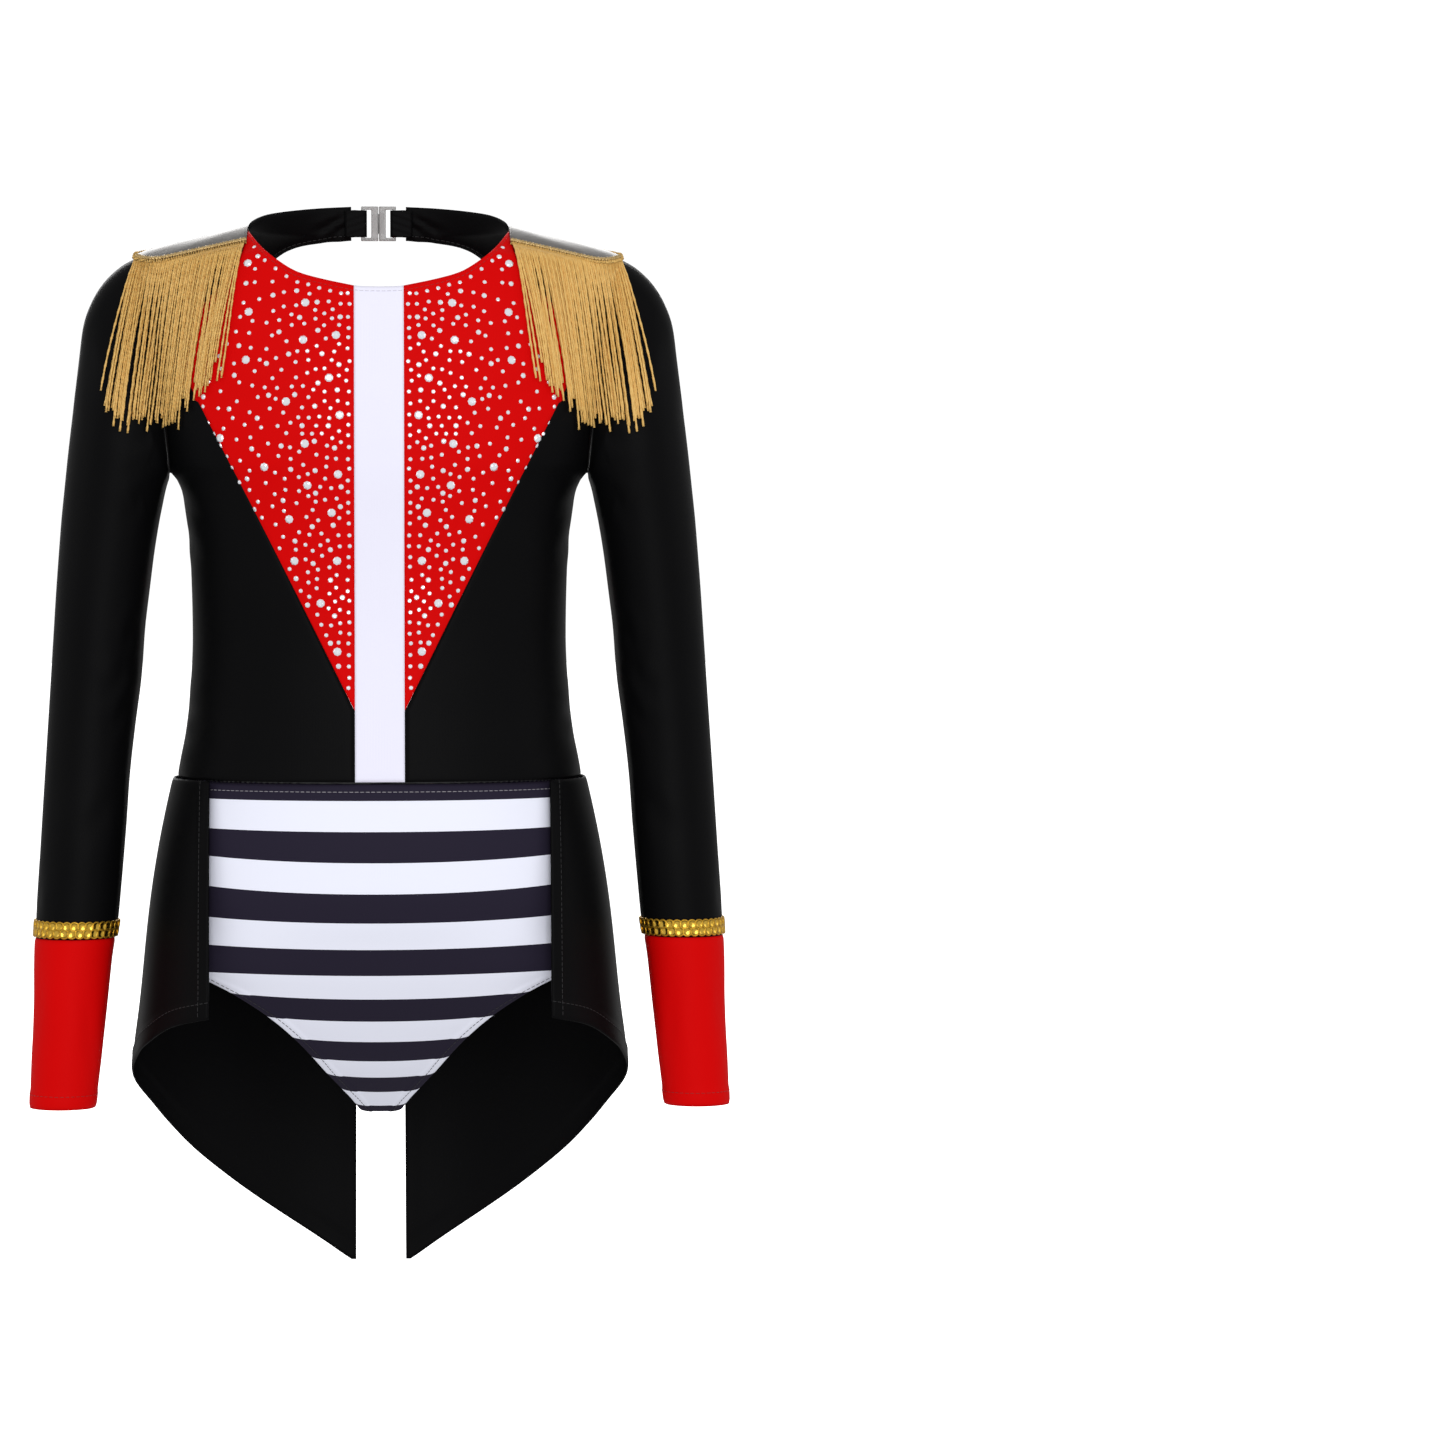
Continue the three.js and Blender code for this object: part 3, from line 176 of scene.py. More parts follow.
def sheet_of(points, flat=None, is_round=False, facing=1):
    """points has rows down the cloth and columns across it."""
    across = np.gradient(points, axis=1)
    if is_round:
        closed = (points[:, 1] - points[:, -2]) / 2
        across[:, 0] = across[:, -1] = closed
    down = np.gradient(points, axis=0)
    normals = unit(np.cross(down, across)) * facing
    if flat is None:
        steps = np.linalg.norm(np.diff(points, axis=1), axis=-1)
        u = np.concatenate([np.zeros((len(points), 1)), np.cumsum(steps, axis=1)], axis=1)
        steps = np.linalg.norm(np.diff(points, axis=0), axis=-1)
        v = np.concatenate([np.zeros((1, points.shape[1])), np.cumsum(steps, axis=0)], axis=0)
        flat = np.stack([u, v], -1)
    rows, columns = points.shape[:2]
    number = np.arange(rows * columns).reshape(rows, columns)
    faces = np.stack([number[:-1, :-1], number[1:, :-1], number[1:, 1:], number[:-1, 1:]], -1)
    if facing < 0:
        faces = faces[..., ::-1]
    return {"points": points.reshape(-1, 3), "normals": normals.reshape(-1, 3),
            "flat": flat.reshape(-1, 2), "faces": faces.reshape(-1, 4)}


def joined(*sheets):
    """Several grids as one sheet; places where they meet become one point when the cloth is made."""
    starts = np.cumsum([0] + [len(sheet["points"]) for sheet in sheets[:-1]])
    made = {key: np.concatenate([sheet[key] for sheet in sheets]) for key in ("points", "normals", "flat")}
    made["faces"] = np.concatenate([sheet["faces"] + start for sheet, start in zip(sheets, starts)])
    return made


def welded(sheet):
    """The sheet with one point for each place; corners keep their own flat places."""
    keys = np.round(sheet["points"], 2)
    _, first, same = np.unique(keys, axis=0, return_index=True, return_inverse=True)
    same = same.reshape(-1)
    normals = np.zeros((len(first), 3))
    np.add.at(normals, same, sheet["normals"])
    faces = same[sheet["faces"]]
    keep = np.array([len(set(face)) == 4 for face in faces.tolist()])
    return {"points": sheet["points"][first], "normals": unit(normals), "faces": faces[keep],
            "corners": sheet["flat"][sheet["faces"][keep]]}


def rim_of(faces):
    """The edges that only one face has, each in that face's direction."""
    edges = np.stack([faces, np.roll(faces, -1, axis=1)], -1).reshape(-1, 2)
    seen = set(map(tuple, edges.tolist()))
    return np.array([edge for edge in edges.tolist() if (edge[1], edge[0]) not in seen])


def distance_to(points, path):
    tree = KDTree(len(path))
    for number, place in enumerate(path.tolist()):
        tree.insert(place, number)
    tree.balance()
    return np.array([tree.find(point)[2] for point in points.tolist()])


# %% [markdown]
# ## Hems, rolled edges and creases
#
# Three small moves turn a smooth surface into sewn cloth. An edge rolls in by half a millimetre, which draws
# the fine dark line of a seam. A hem is two layers, so it stands up by the thickness of the cloth and ends
# in a soft step. A crease is a trough or ridge along a listed line, deepest in its middle.

# %% Shaping the sheet
ROLL_DEPTH, ROLL_WIDTH = 0.5, 1.5
HEM_RISE = 0.45


def roll_edges(sheet):
    rim = rim_of(sheet["faces"])
    edge = sheet["points"][np.unique(rim)]
    away = distance_to(sheet["points"], edge)
    sheet["points"] = sheet["points"] - sheet["normals"] * (ROLL_DEPTH * np.exp(-((away / ROLL_WIDTH) ** 2)))[:, None]
    return sheet


def raise_hem(sheet, path, width):
    away = distance_to(sheet["points"], path)
    lift = HEM_RISE * (1 - smooth_step(away, width - 0.9, width + 0.9))
    sheet["points"] = sheet["points"] + sheet["normals"] * lift[:, None]
    return sheet


def crease(sheet, path, depth, width):
    """A positive depth is a trough, with a lower ridge beside it; a negative one is a ridge."""
    path = np.asarray(path, float)
    lengths = np.r_[0, np.cumsum(np.linalg.norm(np.diff(path, axis=0), axis=1))]
    along = np.linspace(0, lengths[-1], 60)
    dense = np.stack([np.interp(along, lengths, path[:, k]) for k in range(3)], -1)
    reach = 3 * width
    near = np.all((sheet["points"] > dense.min(0) - reach) & (sheet["points"] < dense.max(0) + reach), axis=1)
    ids = np.flatnonzero(near)
    gaps = np.linalg.norm(sheet["points"][ids, None] - dense[None], axis=-1)
    nearest = gaps.argmin(1)
    share = nearest / (len(dense) - 1)
    ends = np.sin(np.pi * np.clip(share, 0.02, 0.98)) ** 0.8
    uneven = 1 + 0.25 * np.sin(9 * share + width)
    away = gaps.min(1) / (width * uneven)
    profile = np.exp(-(away**2)) - 0.45 * np.exp(-((away - 1.9) ** 2))
    sheet["points"][ids] -= sheet["normals"][ids] * (depth * ends * profile)[:, None]
    return sheet


def turned_over(sheet):
    return {**sheet, "normals": -sheet["normals"], "faces": sheet["faces"][:, ::-1],
            "corners": sheet["corners"][:, ::-1]}


def mirrored(sheet):
    made = dict(sheet)
    made["points"] = sheet["points"] * [-1, 1, 1]
    made["normals"] = sheet["normals"] * [-1, 1, 1]
    made["faces"] = sheet["faces"][:, ::-1]
    made["corners"] = sheet["corners"][:, ::-1]
    return made


# %% [markdown]
# ## Making the mesh
#
# The outer side, the inner side and the rim between them become one closed mesh. It is carried by the body,
# and the solid that it stands for is hidden. The width and length that the cloth was cut to, and the area that
# it covers, are kept in a list.

# %% Meshes


def add_mesh(name, points, faces, materials, corners=None, face_finish=None, is_smooth=True):
    mesh = bpy.data.meshes.new(name)
    mesh.from_pydata((np.asarray(points) * MM).tolist(), [], [list(face) for face in faces])
    for material in materials:
        mesh.materials.append(material)
    mesh.polygons.foreach_set("use_smooth", np.full(len(mesh.polygons), is_smooth))
    if face_finish is not None:
        mesh.polygons.foreach_set("material_index", np.asarray(face_finish, np.int32))
    if corners is not None:
        layer = mesh.uv_layers.new(name="Flat")
        layer.data.foreach_set("uv", (np.asarray(corners).reshape(-1, 2) * MM).ravel())
    mesh.validate()
    mesh.update()
    piece = bpy.data.objects.new(name, mesh)
    bpy.context.scene.collection.objects.link(piece)
    return piece


def add_piece(name, nodes, slot, *mesh_args, **mesh_words):
    piece = add_mesh(name, *mesh_args, **mesh_words)
    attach(piece, "root")
    if nodes:
        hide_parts(*nodes)
    return piece


cuts = []  # piece, width, length and area of each cut


def add_cloth(name, node, slot, sheet, material, thick=CLOTH, held="stretched", inner=None):
    points, normals, faces = sheet["points"], sheet["normals"], sheet["faces"]
    count = len(points)
    rim = rim_of(faces)
    sides = np.stack([rim[:, 1], rim[:, 0], rim[:, 0] + count, rim[:, 1] + count], -1)
    every = np.concatenate([faces, faces[:, ::-1] + count, sides])
    place = np.zeros((count, 2))
    place[faces.ravel()] = sheet["corners"].reshape(-1, 2)
    corners = np.concatenate([sheet["corners"], sheet["corners"][:, ::-1], place[sides % count]])
    finish = np.r_[np.zeros(len(faces)), np.full(len(faces), int(inner is not None)), np.zeros(len(sides))]
    both = np.concatenate([points, points - normals * thick])
    materials = [material, inner] if inner else [material]
    piece = add_piece(name, [node], slot, both, every, materials, corners=corners, face_finish=finish)
    a, b, c, d = (points[faces[:, k]] for k in range(4))
    area = np.linalg.norm(np.cross(c - a, d - b), axis=-1).sum() / 2
    spread = sheet["corners"].reshape(-1, 2).max(0) - sheet["corners"].reshape(-1, 2).min(0)
    cuts.append({"piece": piece, "width": spread[0], "length": spread[1], "area": area, "held": held})
    print(name, len(every), "faces, flat", np.round(spread), "mm, area", round(area / 100), "cm2")
    return piece


def add_pair(name, slot, sheet, material, **words):
    return [
        add_cloth(f"{name}_{side}_cloth", f"{name}_{side}", slot, each, material, **words)
        for side, each in (("left", sheet), ("right", mirrored(sheet)))
    ]


def flipped(points):
    return points * [-1, 1, 1]


def add_both(name, node, slot, points, faces, material):
    """A piece on the left and its mirror image on the right; the braces in the names hold the side."""
    made = []
    for side in ("left", "right"):
        nodes = [node.format(side)] if node else []
        made.append(add_piece(name.format(side), nodes, slot, points, faces, [material]))
        points, faces = flipped(points), [face[::-1] for face in faces]
    return made


# %% [markdown]
# ## Finishes
#
# Each finish starts from what the real thing is made of. Colours are picked as they show on a screen, in
# sRGB hex, and one function turns them to the linear values that the shader needs. The cloth is tricot, a
# fine warp knit of polyamide and elastane for dance and swimwear: smooth, dense and only slightly shiny.

# %% Colour and node helpers


def linear(code):
    channels = [int(code[k : k + 2], 16) / 255 for k in (1, 3, 5)]
    return (*[c / 12.92 if c <= 0.04045 else ((c + 0.055) / 1.055) ** 2.4 for c in channels], 1)


def add_node(tree, kind, settings=(), links=()):
    """Settings go to the node's own attributes or, by name or number, to its inputs."""
    node = tree.nodes.new(kind)
    for key, value in dict(settings).items():
        if isinstance(key, str) and key not in node.inputs:
            setattr(node, key, value)
        else:
            node.inputs[key].default_value = value
    for key, source in dict(links).items():
        tree.links.new(source, node.inputs[key])
    return node


def new_finish(name, **shader):
    material = bpy.data.materials.new(name)
    material.use_nodes = True
    tree = material.node_tree
    tree.nodes.clear()
    settings = {key.replace("_", " "): value for key, value in shader.items()}
    principled = add_node(tree, "ShaderNodeBsdfPrincipled", settings)
    add_node(tree, "ShaderNodeOutputMaterial", links={"Surface": principled.outputs["BSDF"]})
    return material, tree, principled


# %% [markdown]
# ### Tricot
#
# The wales of this knit are 0.4 mm apart, finer than a pixel of the picture, so they are drawn 0.9 mm apart
# with a very small bump, just enough to break up the shine as the real knit does. A slow noise, about a hand
# wide, varies the tone by a few percent, since the cloth takes dye and stretch unevenly.

# %% Knitted cloth
WALE, KNIT_DEPTH = 0.9, 0.15  # mm
WAVE_UNIT = 20  # a wave texture of scale 1 repeats every 2 pi / 20 metres
SLOW_TONE, FUZZ = 14, 1400  # noise scales: about a hand wide, and finer than a wale


def tricot(name, light, dark, roughness=0.62, specular=0.25, sheen=0.04, colour=None):
    material, tree, shader = new_finish(name, Roughness=roughness, IOR=1.5)
    shader.inputs["Specular IOR Level"].default_value = specular
    shader.inputs["Sheen Weight"].default_value = sheen
    shader.inputs["Sheen Roughness"].default_value = 0.4
    flat = add_node(tree, "ShaderNodeUVMap", {"uv_map": "Flat"})
    place = add_node(tree, "ShaderNodeTexCoord")
    slow = add_node(tree, "ShaderNodeTexNoise", {"Scale": SLOW_TONE, "Detail": 3}, {"Vector": place.outputs["Object"]})
    if colour is None:
        tone = add_node(tree, "ShaderNodeMix", {"data_type": "RGBA", 6: linear(light), 7: linear(dark)},
                        {0: slow.outputs["Fac"]}).outputs[2]
    else:
        tone = colour(tree, flat, slow)
    tree.links.new(tone, shader.inputs["Base Color"])
    scale = 2 * math.pi / (WAVE_UNIT * WALE * MM)
    wales = add_node(tree, "ShaderNodeTexWave",
                     {"bands_direction": "X", "Scale": scale, "Distortion": 0.6, "Detail": 1},
                     {"Vector": flat.outputs["UV"]})
    fuzz = add_node(tree, "ShaderNodeTexNoise", {"Scale": FUZZ, "Detail": 2}, {"Vector": place.outputs["Object"]})
    grain = add_node(tree, "ShaderNodeMath", {"operation": "MULTIPLY"},
                     {0: wales.outputs["Fac"], 1: fuzz.outputs["Fac"]})
    bump = add_node(tree, "ShaderNodeBump", {"Strength": 0.25, "Distance": KNIT_DEPTH * MM},
                    {"Height": grain.outputs[0]})
    tree.links.new(bump.outputs["Normal"], shader.inputs["Normal"])
    return material


black_tricot = tricot("black_tricot", "#0b0b0c", "#070708", roughness=0.5, specular=0.04, sheen=0.0)
red_tricot = tricot("red_tricot", "#d60304", "#cc0303", specular=0.04, sheen=0.0)
red_elastic = tricot("red_elastic", "#e20405", "#d80404", specular=0.06, sheen=0.0)
white_tricot = tricot("white_tricot", "#f0effe", "#ebeafb", specular=0.05, sheen=0.0)
print("tricot", WALE, "mm from wale to wale")

# %% [markdown]
# ### Striped tricot
#
# The brief is cut from cloth printed with even stripes, 18.3 mm each. The stripe comes from the cloth's flat
# place: its distance down the cut, divided by the stripe's width, is even or odd. The front and the back are
# cut at different places of the repeat, so each has its own start. The band along the waist is black on both.

# %% Stripes
STRIPE, WAIST_HEM = 18.3, 10.1  # mm
BACK_START = -3.2  # mm from the waist at which the repeat starts on the back
WHITE_STRIPE, BLACK_STRIPE = "#eff1ff", "#262231"


def striped(name, start):
    def colour(tree, flat, slow):
        parts = add_node(tree, "ShaderNodeSeparateXYZ", links={0: flat.outputs["UV"]})
        down = add_node(tree, "ShaderNodeMath", {"operation": "SUBTRACT", 1: start * MM}, {0: parts.outputs["Y"]})
        count = add_node(tree, "ShaderNodeMath", {"operation": "DIVIDE", 1: STRIPE * MM}, {0: down.outputs[0]})
        whole = add_node(tree, "ShaderNodeMath", {"operation": "FLOOR"}, {0: count.outputs[0]})
        odd = add_node(tree, "ShaderNodeMath", {"operation": "FLOORED_MODULO", 1: 2}, {0: whole.outputs[0]})
        band = add_node(tree, "ShaderNodeMath", {"operation": "LESS_THAN", 1: WAIST_HEM * MM}, {0: parts.outputs["Y"]})
        black = add_node(tree, "ShaderNodeMath", {"operation": "MAXIMUM"}, {0: odd.outputs[0], 1: band.outputs[0]})
        return add_node(tree, "ShaderNodeMix", {"data_type": "RGBA", 6: linear(WHITE_STRIPE), 7: linear(BLACK_STRIPE)},
                        {0: black.outputs[0]}).outputs[2]

    return tricot(name, WHITE_STRIPE, BLACK_STRIPE, specular=0.05, sheen=0.0, colour=colour)


front_stripes = striped("striped_tricot_front", WAIST_HEM)
back_stripes = striped("striped_tricot_back", BACK_START)
print("stripes", STRIPE, "mm")

# %% [markdown]
# ### Thread, glass, cord, foil and plastic
#
# The stones are faceted lead-free glass with a foil back. The foil throws the light back out, so they look
# like white, half mirrored facets rather than like clear glass. The fringe is rayon cord: silky, with a soft
# shine along each strand. The boards are foil-coated cloth. The clasp is clear acetal, given a grey colour
# that is painted shade, since the plates lie in shadow.

# %% Other finishes


FIBRE_TONE = 420  # noise scale, a few millimetres of thread


def spun(name, light, dark, roughness, metallic, pitch, depth, specular=0.4):
    """Twisted thread or cord: diagonal ridges pitch millimetres apart, and a tone that varies from fibre to fibre."""
    material, tree, shader = new_finish(name, Roughness=roughness, Metallic=metallic, IOR=1.5)
    shader.inputs["Specular IOR Level"].default_value = specular
    place = add_node(tree, "ShaderNodeTexCoord")
    noise = add_node(tree, "ShaderNodeTexNoise", {"Scale": FIBRE_TONE, "Detail": 2},
                     {"Vector": place.outputs["Object"]})
    tone = add_node(tree, "ShaderNodeMix", {"data_type": "RGBA", 6: linear(light), 7: linear(dark)},
                    {0: noise.outputs["Fac"]})
    tree.links.new(tone.outputs[2], shader.inputs["Base Color"])
    scale = 2 * math.pi / (WAVE_UNIT * pitch * MM)
    ridges = add_node(tree, "ShaderNodeTexWave",
                      {"bands_direction": "DIAGONAL", "Scale": scale, "Distortion": 0.4},
                      {"Vector": place.outputs["Object"]})
    bump = add_node(tree, "ShaderNodeBump", {"Strength": 0.5, "Distance": depth * MM},
                    {"Height": ridges.outputs["Fac"]})
    tree.links.new(bump.outputs["Normal"], shader.inputs["Normal"])
    return material


def polished(name, base, roughness, metallic, scale, depth, light=None, **more):
    """A smooth surface with a faint unevenness from how it was pressed, moulded or cut."""
    material, tree, shader = new_finish(name, Roughness=roughness, Metallic=metallic, **more)
    place = add_node(tree, "ShaderNodeTexCoord")
    noise = add_node(tree, "ShaderNodeTexNoise", {"Scale": scale, "Detail": 3}, {"Vector": place.outputs["Object"]})
    tone = add_node(tree, "ShaderNodeMix", {"data_type": "RGBA", 6: linear(base), 7: linear(light or base)},
                    {0: noise.outputs["Fac"]})
    tree.links.new(tone.outputs[2], shader.inputs["Base Color"])
    bump = add_node(tree, "ShaderNodeBump", {"Strength": 0.4, "Distance": depth * MM},
                    {"Height": noise.outputs["Fac"]})
    tree.links.new(bump.outputs["Normal"], shader.inputs["Normal"])
    return material


rayon_cord = spun("gold_rayon_cord", "#eec677", "#d0a050", 0.45, 0.05, 1.1, 0.12)
metal_thread = spun("gold_lurex_thread", "#e0b23c", "#a8761c", 0.3, 0.85, 0.8, 0.1)
black_thread = spun("black_polyester_thread", "#2c2c2e", "#1d1d1f", 0.5, 0, 0.5, 0.05)
grey_thread = spun("grey_polyester_thread", "#a9a6ac", "#8b888f", 0.5, 0, 0.5, 0.05)
white_thread = spun("white_polyester_thread", "#d9d7e2", "#c4c1cf", 0.5, 0, 0.5, 0.05)
red_thread = spun("red_polyester_thread", "#b40505", "#9a0404", 0.5, 0, 0.5, 0.05)
foil_cloth = polished("silver_foil_coated_cloth", "#5f5c5a", 0.38, 0.75, 90, 0.25, light="#787572")
gold_piping = spun("gold_lurex_piping", "#d6ba84", "#a98a55", 0.35, 0.7, 1.2, 0.15)
sequin_foil = polished("gold_sequin_foil", "#d9a92f", 0.22, 1.0, 300, 0.05, light="#e8c25a")
foiled_glass = polished("foil_backed_glass", "#f4f6fa", 0.08, 0.4, 500, 0.01, light="#e4e8ef")
# Clear acetal with a grey base and little transmission: the grey is painted shade, as the plates lie in shadow.
acetal_painted_grey_shade = polished("acetal_painted_grey_shade", "#9c9c9b", 0.16, 0.0, 160, 0.03, IOR=1.48)
acetal_painted_grey_shade.node_tree.nodes["Principled BSDF"].inputs["Transmission Weight"].default_value = 0.2
print("finishes", len(bpy.data.materials))

# %% [markdown]
# ## Sewing small things onto the cloth
#
# A stitch or a stone has to sit on the cloth as it is after hems and creases. A bounding volume tree of a
# finished mesh answers which place of the cloth is nearest to a point, and which way it faces there.

# %% Surfaces to lay things on


def surface_of(*pieces):
    corners, faces = [], []
    for piece in pieces:
        start = len(corners)
        corners += [vertex.co / MM for vertex in piece.data.vertices]
        faces += [[start + k for k in face.vertices] for face in piece.data.polygons]
    return BVHTree.FromPolygons(corners, faces)


def laid(surface, path, outward, height=0.0):
    """The path's points on the cloth, with outward telling which side is meant; and the cloth's directions."""
    places, normals = [], []
    for point, out in zip(path, outward):
        start = Vector(point) + Vector(out) * 3
        hit, normal, _, _ = surface.ray_cast(start, -Vector(out), 12)
        if hit is None:
            hit, normal, _, _ = surface.find_nearest(start)
        if normal.dot(Vector(out)) < 0:
            normal = -normal
        places.append(hit + normal * height)
        normals.append(normal)
    return np.array([list(place) for place in places]), np.array([list(normal) for normal in normals])


def evenly(path, step):
    """Places every step along a path."""
    path = np.asarray(path, float)
    lengths = np.r_[0, np.cumsum(np.linalg.norm(np.diff(path, axis=0), axis=1))]
    along = np.linspace(0, lengths[-1], max(int(lengths[-1] / step), 1) + 1)
    return np.stack([np.interp(along, lengths, path[:, k]) for k in range(path.shape[1])], -1)


# %% [markdown]
# ### Topstitching
#
# Each stitch of a lockstitch seam shows as a short, slightly sunk bar of thread with a gap to the next. All
# the stitches of a seam are one mesh: six-sided bars with tapered ends, built with arrays in a single step.

# %% Stitches
STITCH, STITCH_GAP, THREAD = 2.3, 0.9, 0.2


def bars(starts, ends, ups, radius):
    """Tapered six-sided bars between pairs of points."""
    along = unit(ends - starts)
    side = unit(np.cross(along, ups))
    up = np.cross(side, along)
    turns = np.arange(6) * math.pi / 3
    ring = side[:, None] * np.cos(turns)[None, :, None] + up[:, None] * np.sin(turns)[None, :, None] * 0.75
    shares, widths = (0, 0.12, 0.88, 1), (0.35, 1, 1, 0.35)
    rows = [mix(starts, ends, share)[:, None] + ring * radius * width for share, width in zip(shares, widths)]
    points = np.stack(rows, 1).reshape(-1, 3)
    base = np.arange(len(starts))[:, None, None] * 24
    k, j = np.arange(3)[:, None] * 6, np.arange(6)[None]
    quads = np.stack([k + j, k + (j + 1) % 6, k + 6 + (j + 1) % 6, k + 6 + j], -1).reshape(-1, 4)
    faces = (base + quads[None]).reshape(-1, 4).tolist()
    for start in range(0, len(starts) * 24, 24):
        faces += [list(range(start + 5, start - 1, -1)), list(range(start + 18, start + 24))]
    return points, faces


def stitch(name, slot, surface, seams, material):
    """Seams are pairs of a path and the outward directions along it."""
    starts, ends, ups = [], [], []
    for path, outward in seams:
        both = evenly(np.hstack([path, outward]), (STITCH + STITCH_GAP) / 4)
        places, normals = laid(surface, both[:, :3], unit(both[:, 3:]), THREAD * 0.5)
        starts.append(places[:-3:4])
        ends.append(places[3::4][: len(places[:-3:4])])
        ups.append(normals[:-3:4])
    points, faces = bars(np.vstack(starts), np.vstack(ends), np.vstack(ups), THREAD)
    return add_piece(name, [], slot, points, faces, [material])


# %% [markdown]
# ## White front strip and red front panels
#
# The white strip runs from the neckline to the waist. Beside it lies a red kite on each side: its top edge is
# the neckline, its outer edge runs down over the shoulder, and its lower edge slants in to the strip. A
# four-sided patch with curved sides is filled by blending opposite edges and taking off what its corners
# would count twice.

# %% Front panels
NECK_POINT_X = 77.7
NECKLINE = [  # x, z
    (STRIP_HALF, -32.5), (33.7, -28.4), (47.3, -24.4), (59.7, -17), (69.5, -8.5), (NECK_POINT_X, NECK_POINT_Z),
]
RED_SEAM = [  # z, x
    (NECK_POINT_Z, NECK_POINT_X), (-14, 81), (-26, 87.5), (-42, 102), (-60, 115), (-78, 117.6), (-80, 116.6),
    (RED_CORNER_Z, 107), (-190, 60.6), (RED_TIP_Z, STRIP_HALF + 0.1),
]
neckline = curve_through(NECKLINE)
red_seam = curve_through(RED_SEAM)
NECK_HEM, NECK_DIP = 5, 0.6  # width of the hem, and how far the strip's top dips in its middle


def front_points(x, z):
    return body.point(body.angle_at(x, z), z)


def red_front():
    down, out = np.linspace(0, 1, 120)[:, None], np.linspace(0, 1, 76)[None]
    top_x = mix(STRIP_HALF, NECK_POINT_X, out)
    top = np.stack([top_x, neckline(top_x)[..., 0]], -1)
    low_z = mix(RED_TIP_Z, RED_CORNER_Z, out)
    low = np.stack([red_seam(low_z)[..., 0], low_z], -1)
    in_side = np.stack([np.full_like(down, STRIP_HALF), mix(NECKLINE[0][1], RED_TIP_Z, down)], -1)
    out_z = mix(NECK_POINT_Z, RED_CORNER_Z, down)
    out_side = np.stack([red_seam(out_z)[..., 0], out_z], -1)
    down, out = down[..., None], out[..., None]
    corners = mix(mix(top[:, :1], top[:, -1:], out), mix(low[:, :1], low[:, -1:], out), down)
    filled = mix(top, low, down) + mix(in_side, out_side, out) - corners
    x, z = filled[..., 0], filled[..., 1]
    return sheet_of(front_points(x, z), flat=np.stack([x, -z], -1))


neck_x = np.linspace(STRIP_HALF, NECK_POINT_X, 80)
neck_edge = front_points(neck_x, neckline(neck_x)[..., 0])
strip_z = np.linspace(NECKLINE[0][1], WAIST_Z, 130)[:, None]
strip_share = np.linspace(-1, 1, 17)[None]
strip_top = np.where(strip_z == strip_z.max(), -NECK_DIP * (1 - strip_share**2), 0)
strip_points = body.point(strip_share * body.angle_at(STRIP_HALF, strip_z), strip_z + strip_top)
strip_edge = strip_points[0]

strip_sheet = welded(sheet_of(strip_points))
strip_sheet = roll_edges(raise_hem(strip_sheet, strip_edge, NECK_HEM))
red_sheet = welded(red_front())
crease(red_sheet, front_points(np.array([104, 88, 66]), np.array([-104, -96, -101])), 0.5, 7)
crease(red_sheet, front_points(np.array([80, 62, 45]), np.array([-30, -52, -66])), 0.35, 8)
red_sheet = roll_edges(raise_hem(red_sheet, neck_edge, NECK_HEM))
white_strip = add_cloth("centre_strip_cloth", "centre_strip", "white_jersey", strip_sheet, white_tricot)
red_fronts = add_pair("red_front", "red_jersey", red_sheet, red_tricot)

# %% [markdown]
# ## Black side panels
#
# One panel on each side runs from the shoulder seam down the armhole, and under the arm it turns round the
# side to the edge of the open back. At the waist a narrow end of it goes on to the centre back. It is drawn
# as two grids that share the side line: one in front of it and one behind it.

# %% Side panels
ARMHOLE_FRONT = [  # z, x
    (SHOULDER_TIP_Z, 143.2), (-26, 140.5), (-42, 137.5), (-60, 134), (-78, 131), (-99, 128), (-112, 126.3),
    (-125, 125), (-134, 124.4), (-139.5, 124.3), (UNDERARM_Z, 124.5),
]
OPEN_BACK_EDGE = [  # height of the row where it leaves the side line, angle of its end, z of its end
    (-141.5, 111, -141.5), (-163, 103.5, -163), (-190, 99.5, -190), (-220, 98, -220), (-252, 98.5, -252),
    (-276, 101, -282), (-288, 107, -296), (-297, 117, -306), (-304, 131, -315), (-309, 140, -316.2),
    (-313, 150, -317.2), (-317, 162, -318.8), (-320, 173, -320.2), (-323.5, 179.9, -320.8),
]
armhole_front = curve_through(ARMHOLE_FRONT)
open_back = curve_through(OPEN_BACK_EDGE)
BINDING = 4.5


def side_panel():
    z = np.concatenate([
        np.linspace(NECK_POINT_Z, SHOULDER_TIP_Z, 14)[:-1], np.linspace(SHOULDER_TIP_Z, UNDERARM_Z, 56)[:-1],
        np.linspace(UNDERARM_Z, RED_TIP_Z, 56)[:-1], np.linspace(RED_TIP_Z, WAIST_Z, 24),
    ])
    start_x = np.where(z > RED_TIP_Z, red_seam(z)[..., 0], STRIP_HALF)
    start = body.angle_at(start_x, z)
    on_armhole = (z < SHOULDER_TIP_Z) & (z > UNDERARM_Z)
    end = np.where(on_armhole, body.angle_at(armhole_front(z)[..., 0], z), 90)
    share = np.linspace(0, 1, 60)[None]
    front = body.point(mix(start[:, None], end[:, None], share), z[:, None])
    low = z[z <= UNDERARM_Z][:, None]
    edge = open_back(low[:, 0])
    share = np.linspace(0, 1, 46)[None]
    angle, level = mix(90, edge[:, :1], share), mix(low, edge[:, 1:], share)
    level = np.where(low <= WAIST_Z, low, level)
    back = body.point(angle, level)
    return joined(sheet_of(front), sheet_of(back)), back[:, -1]


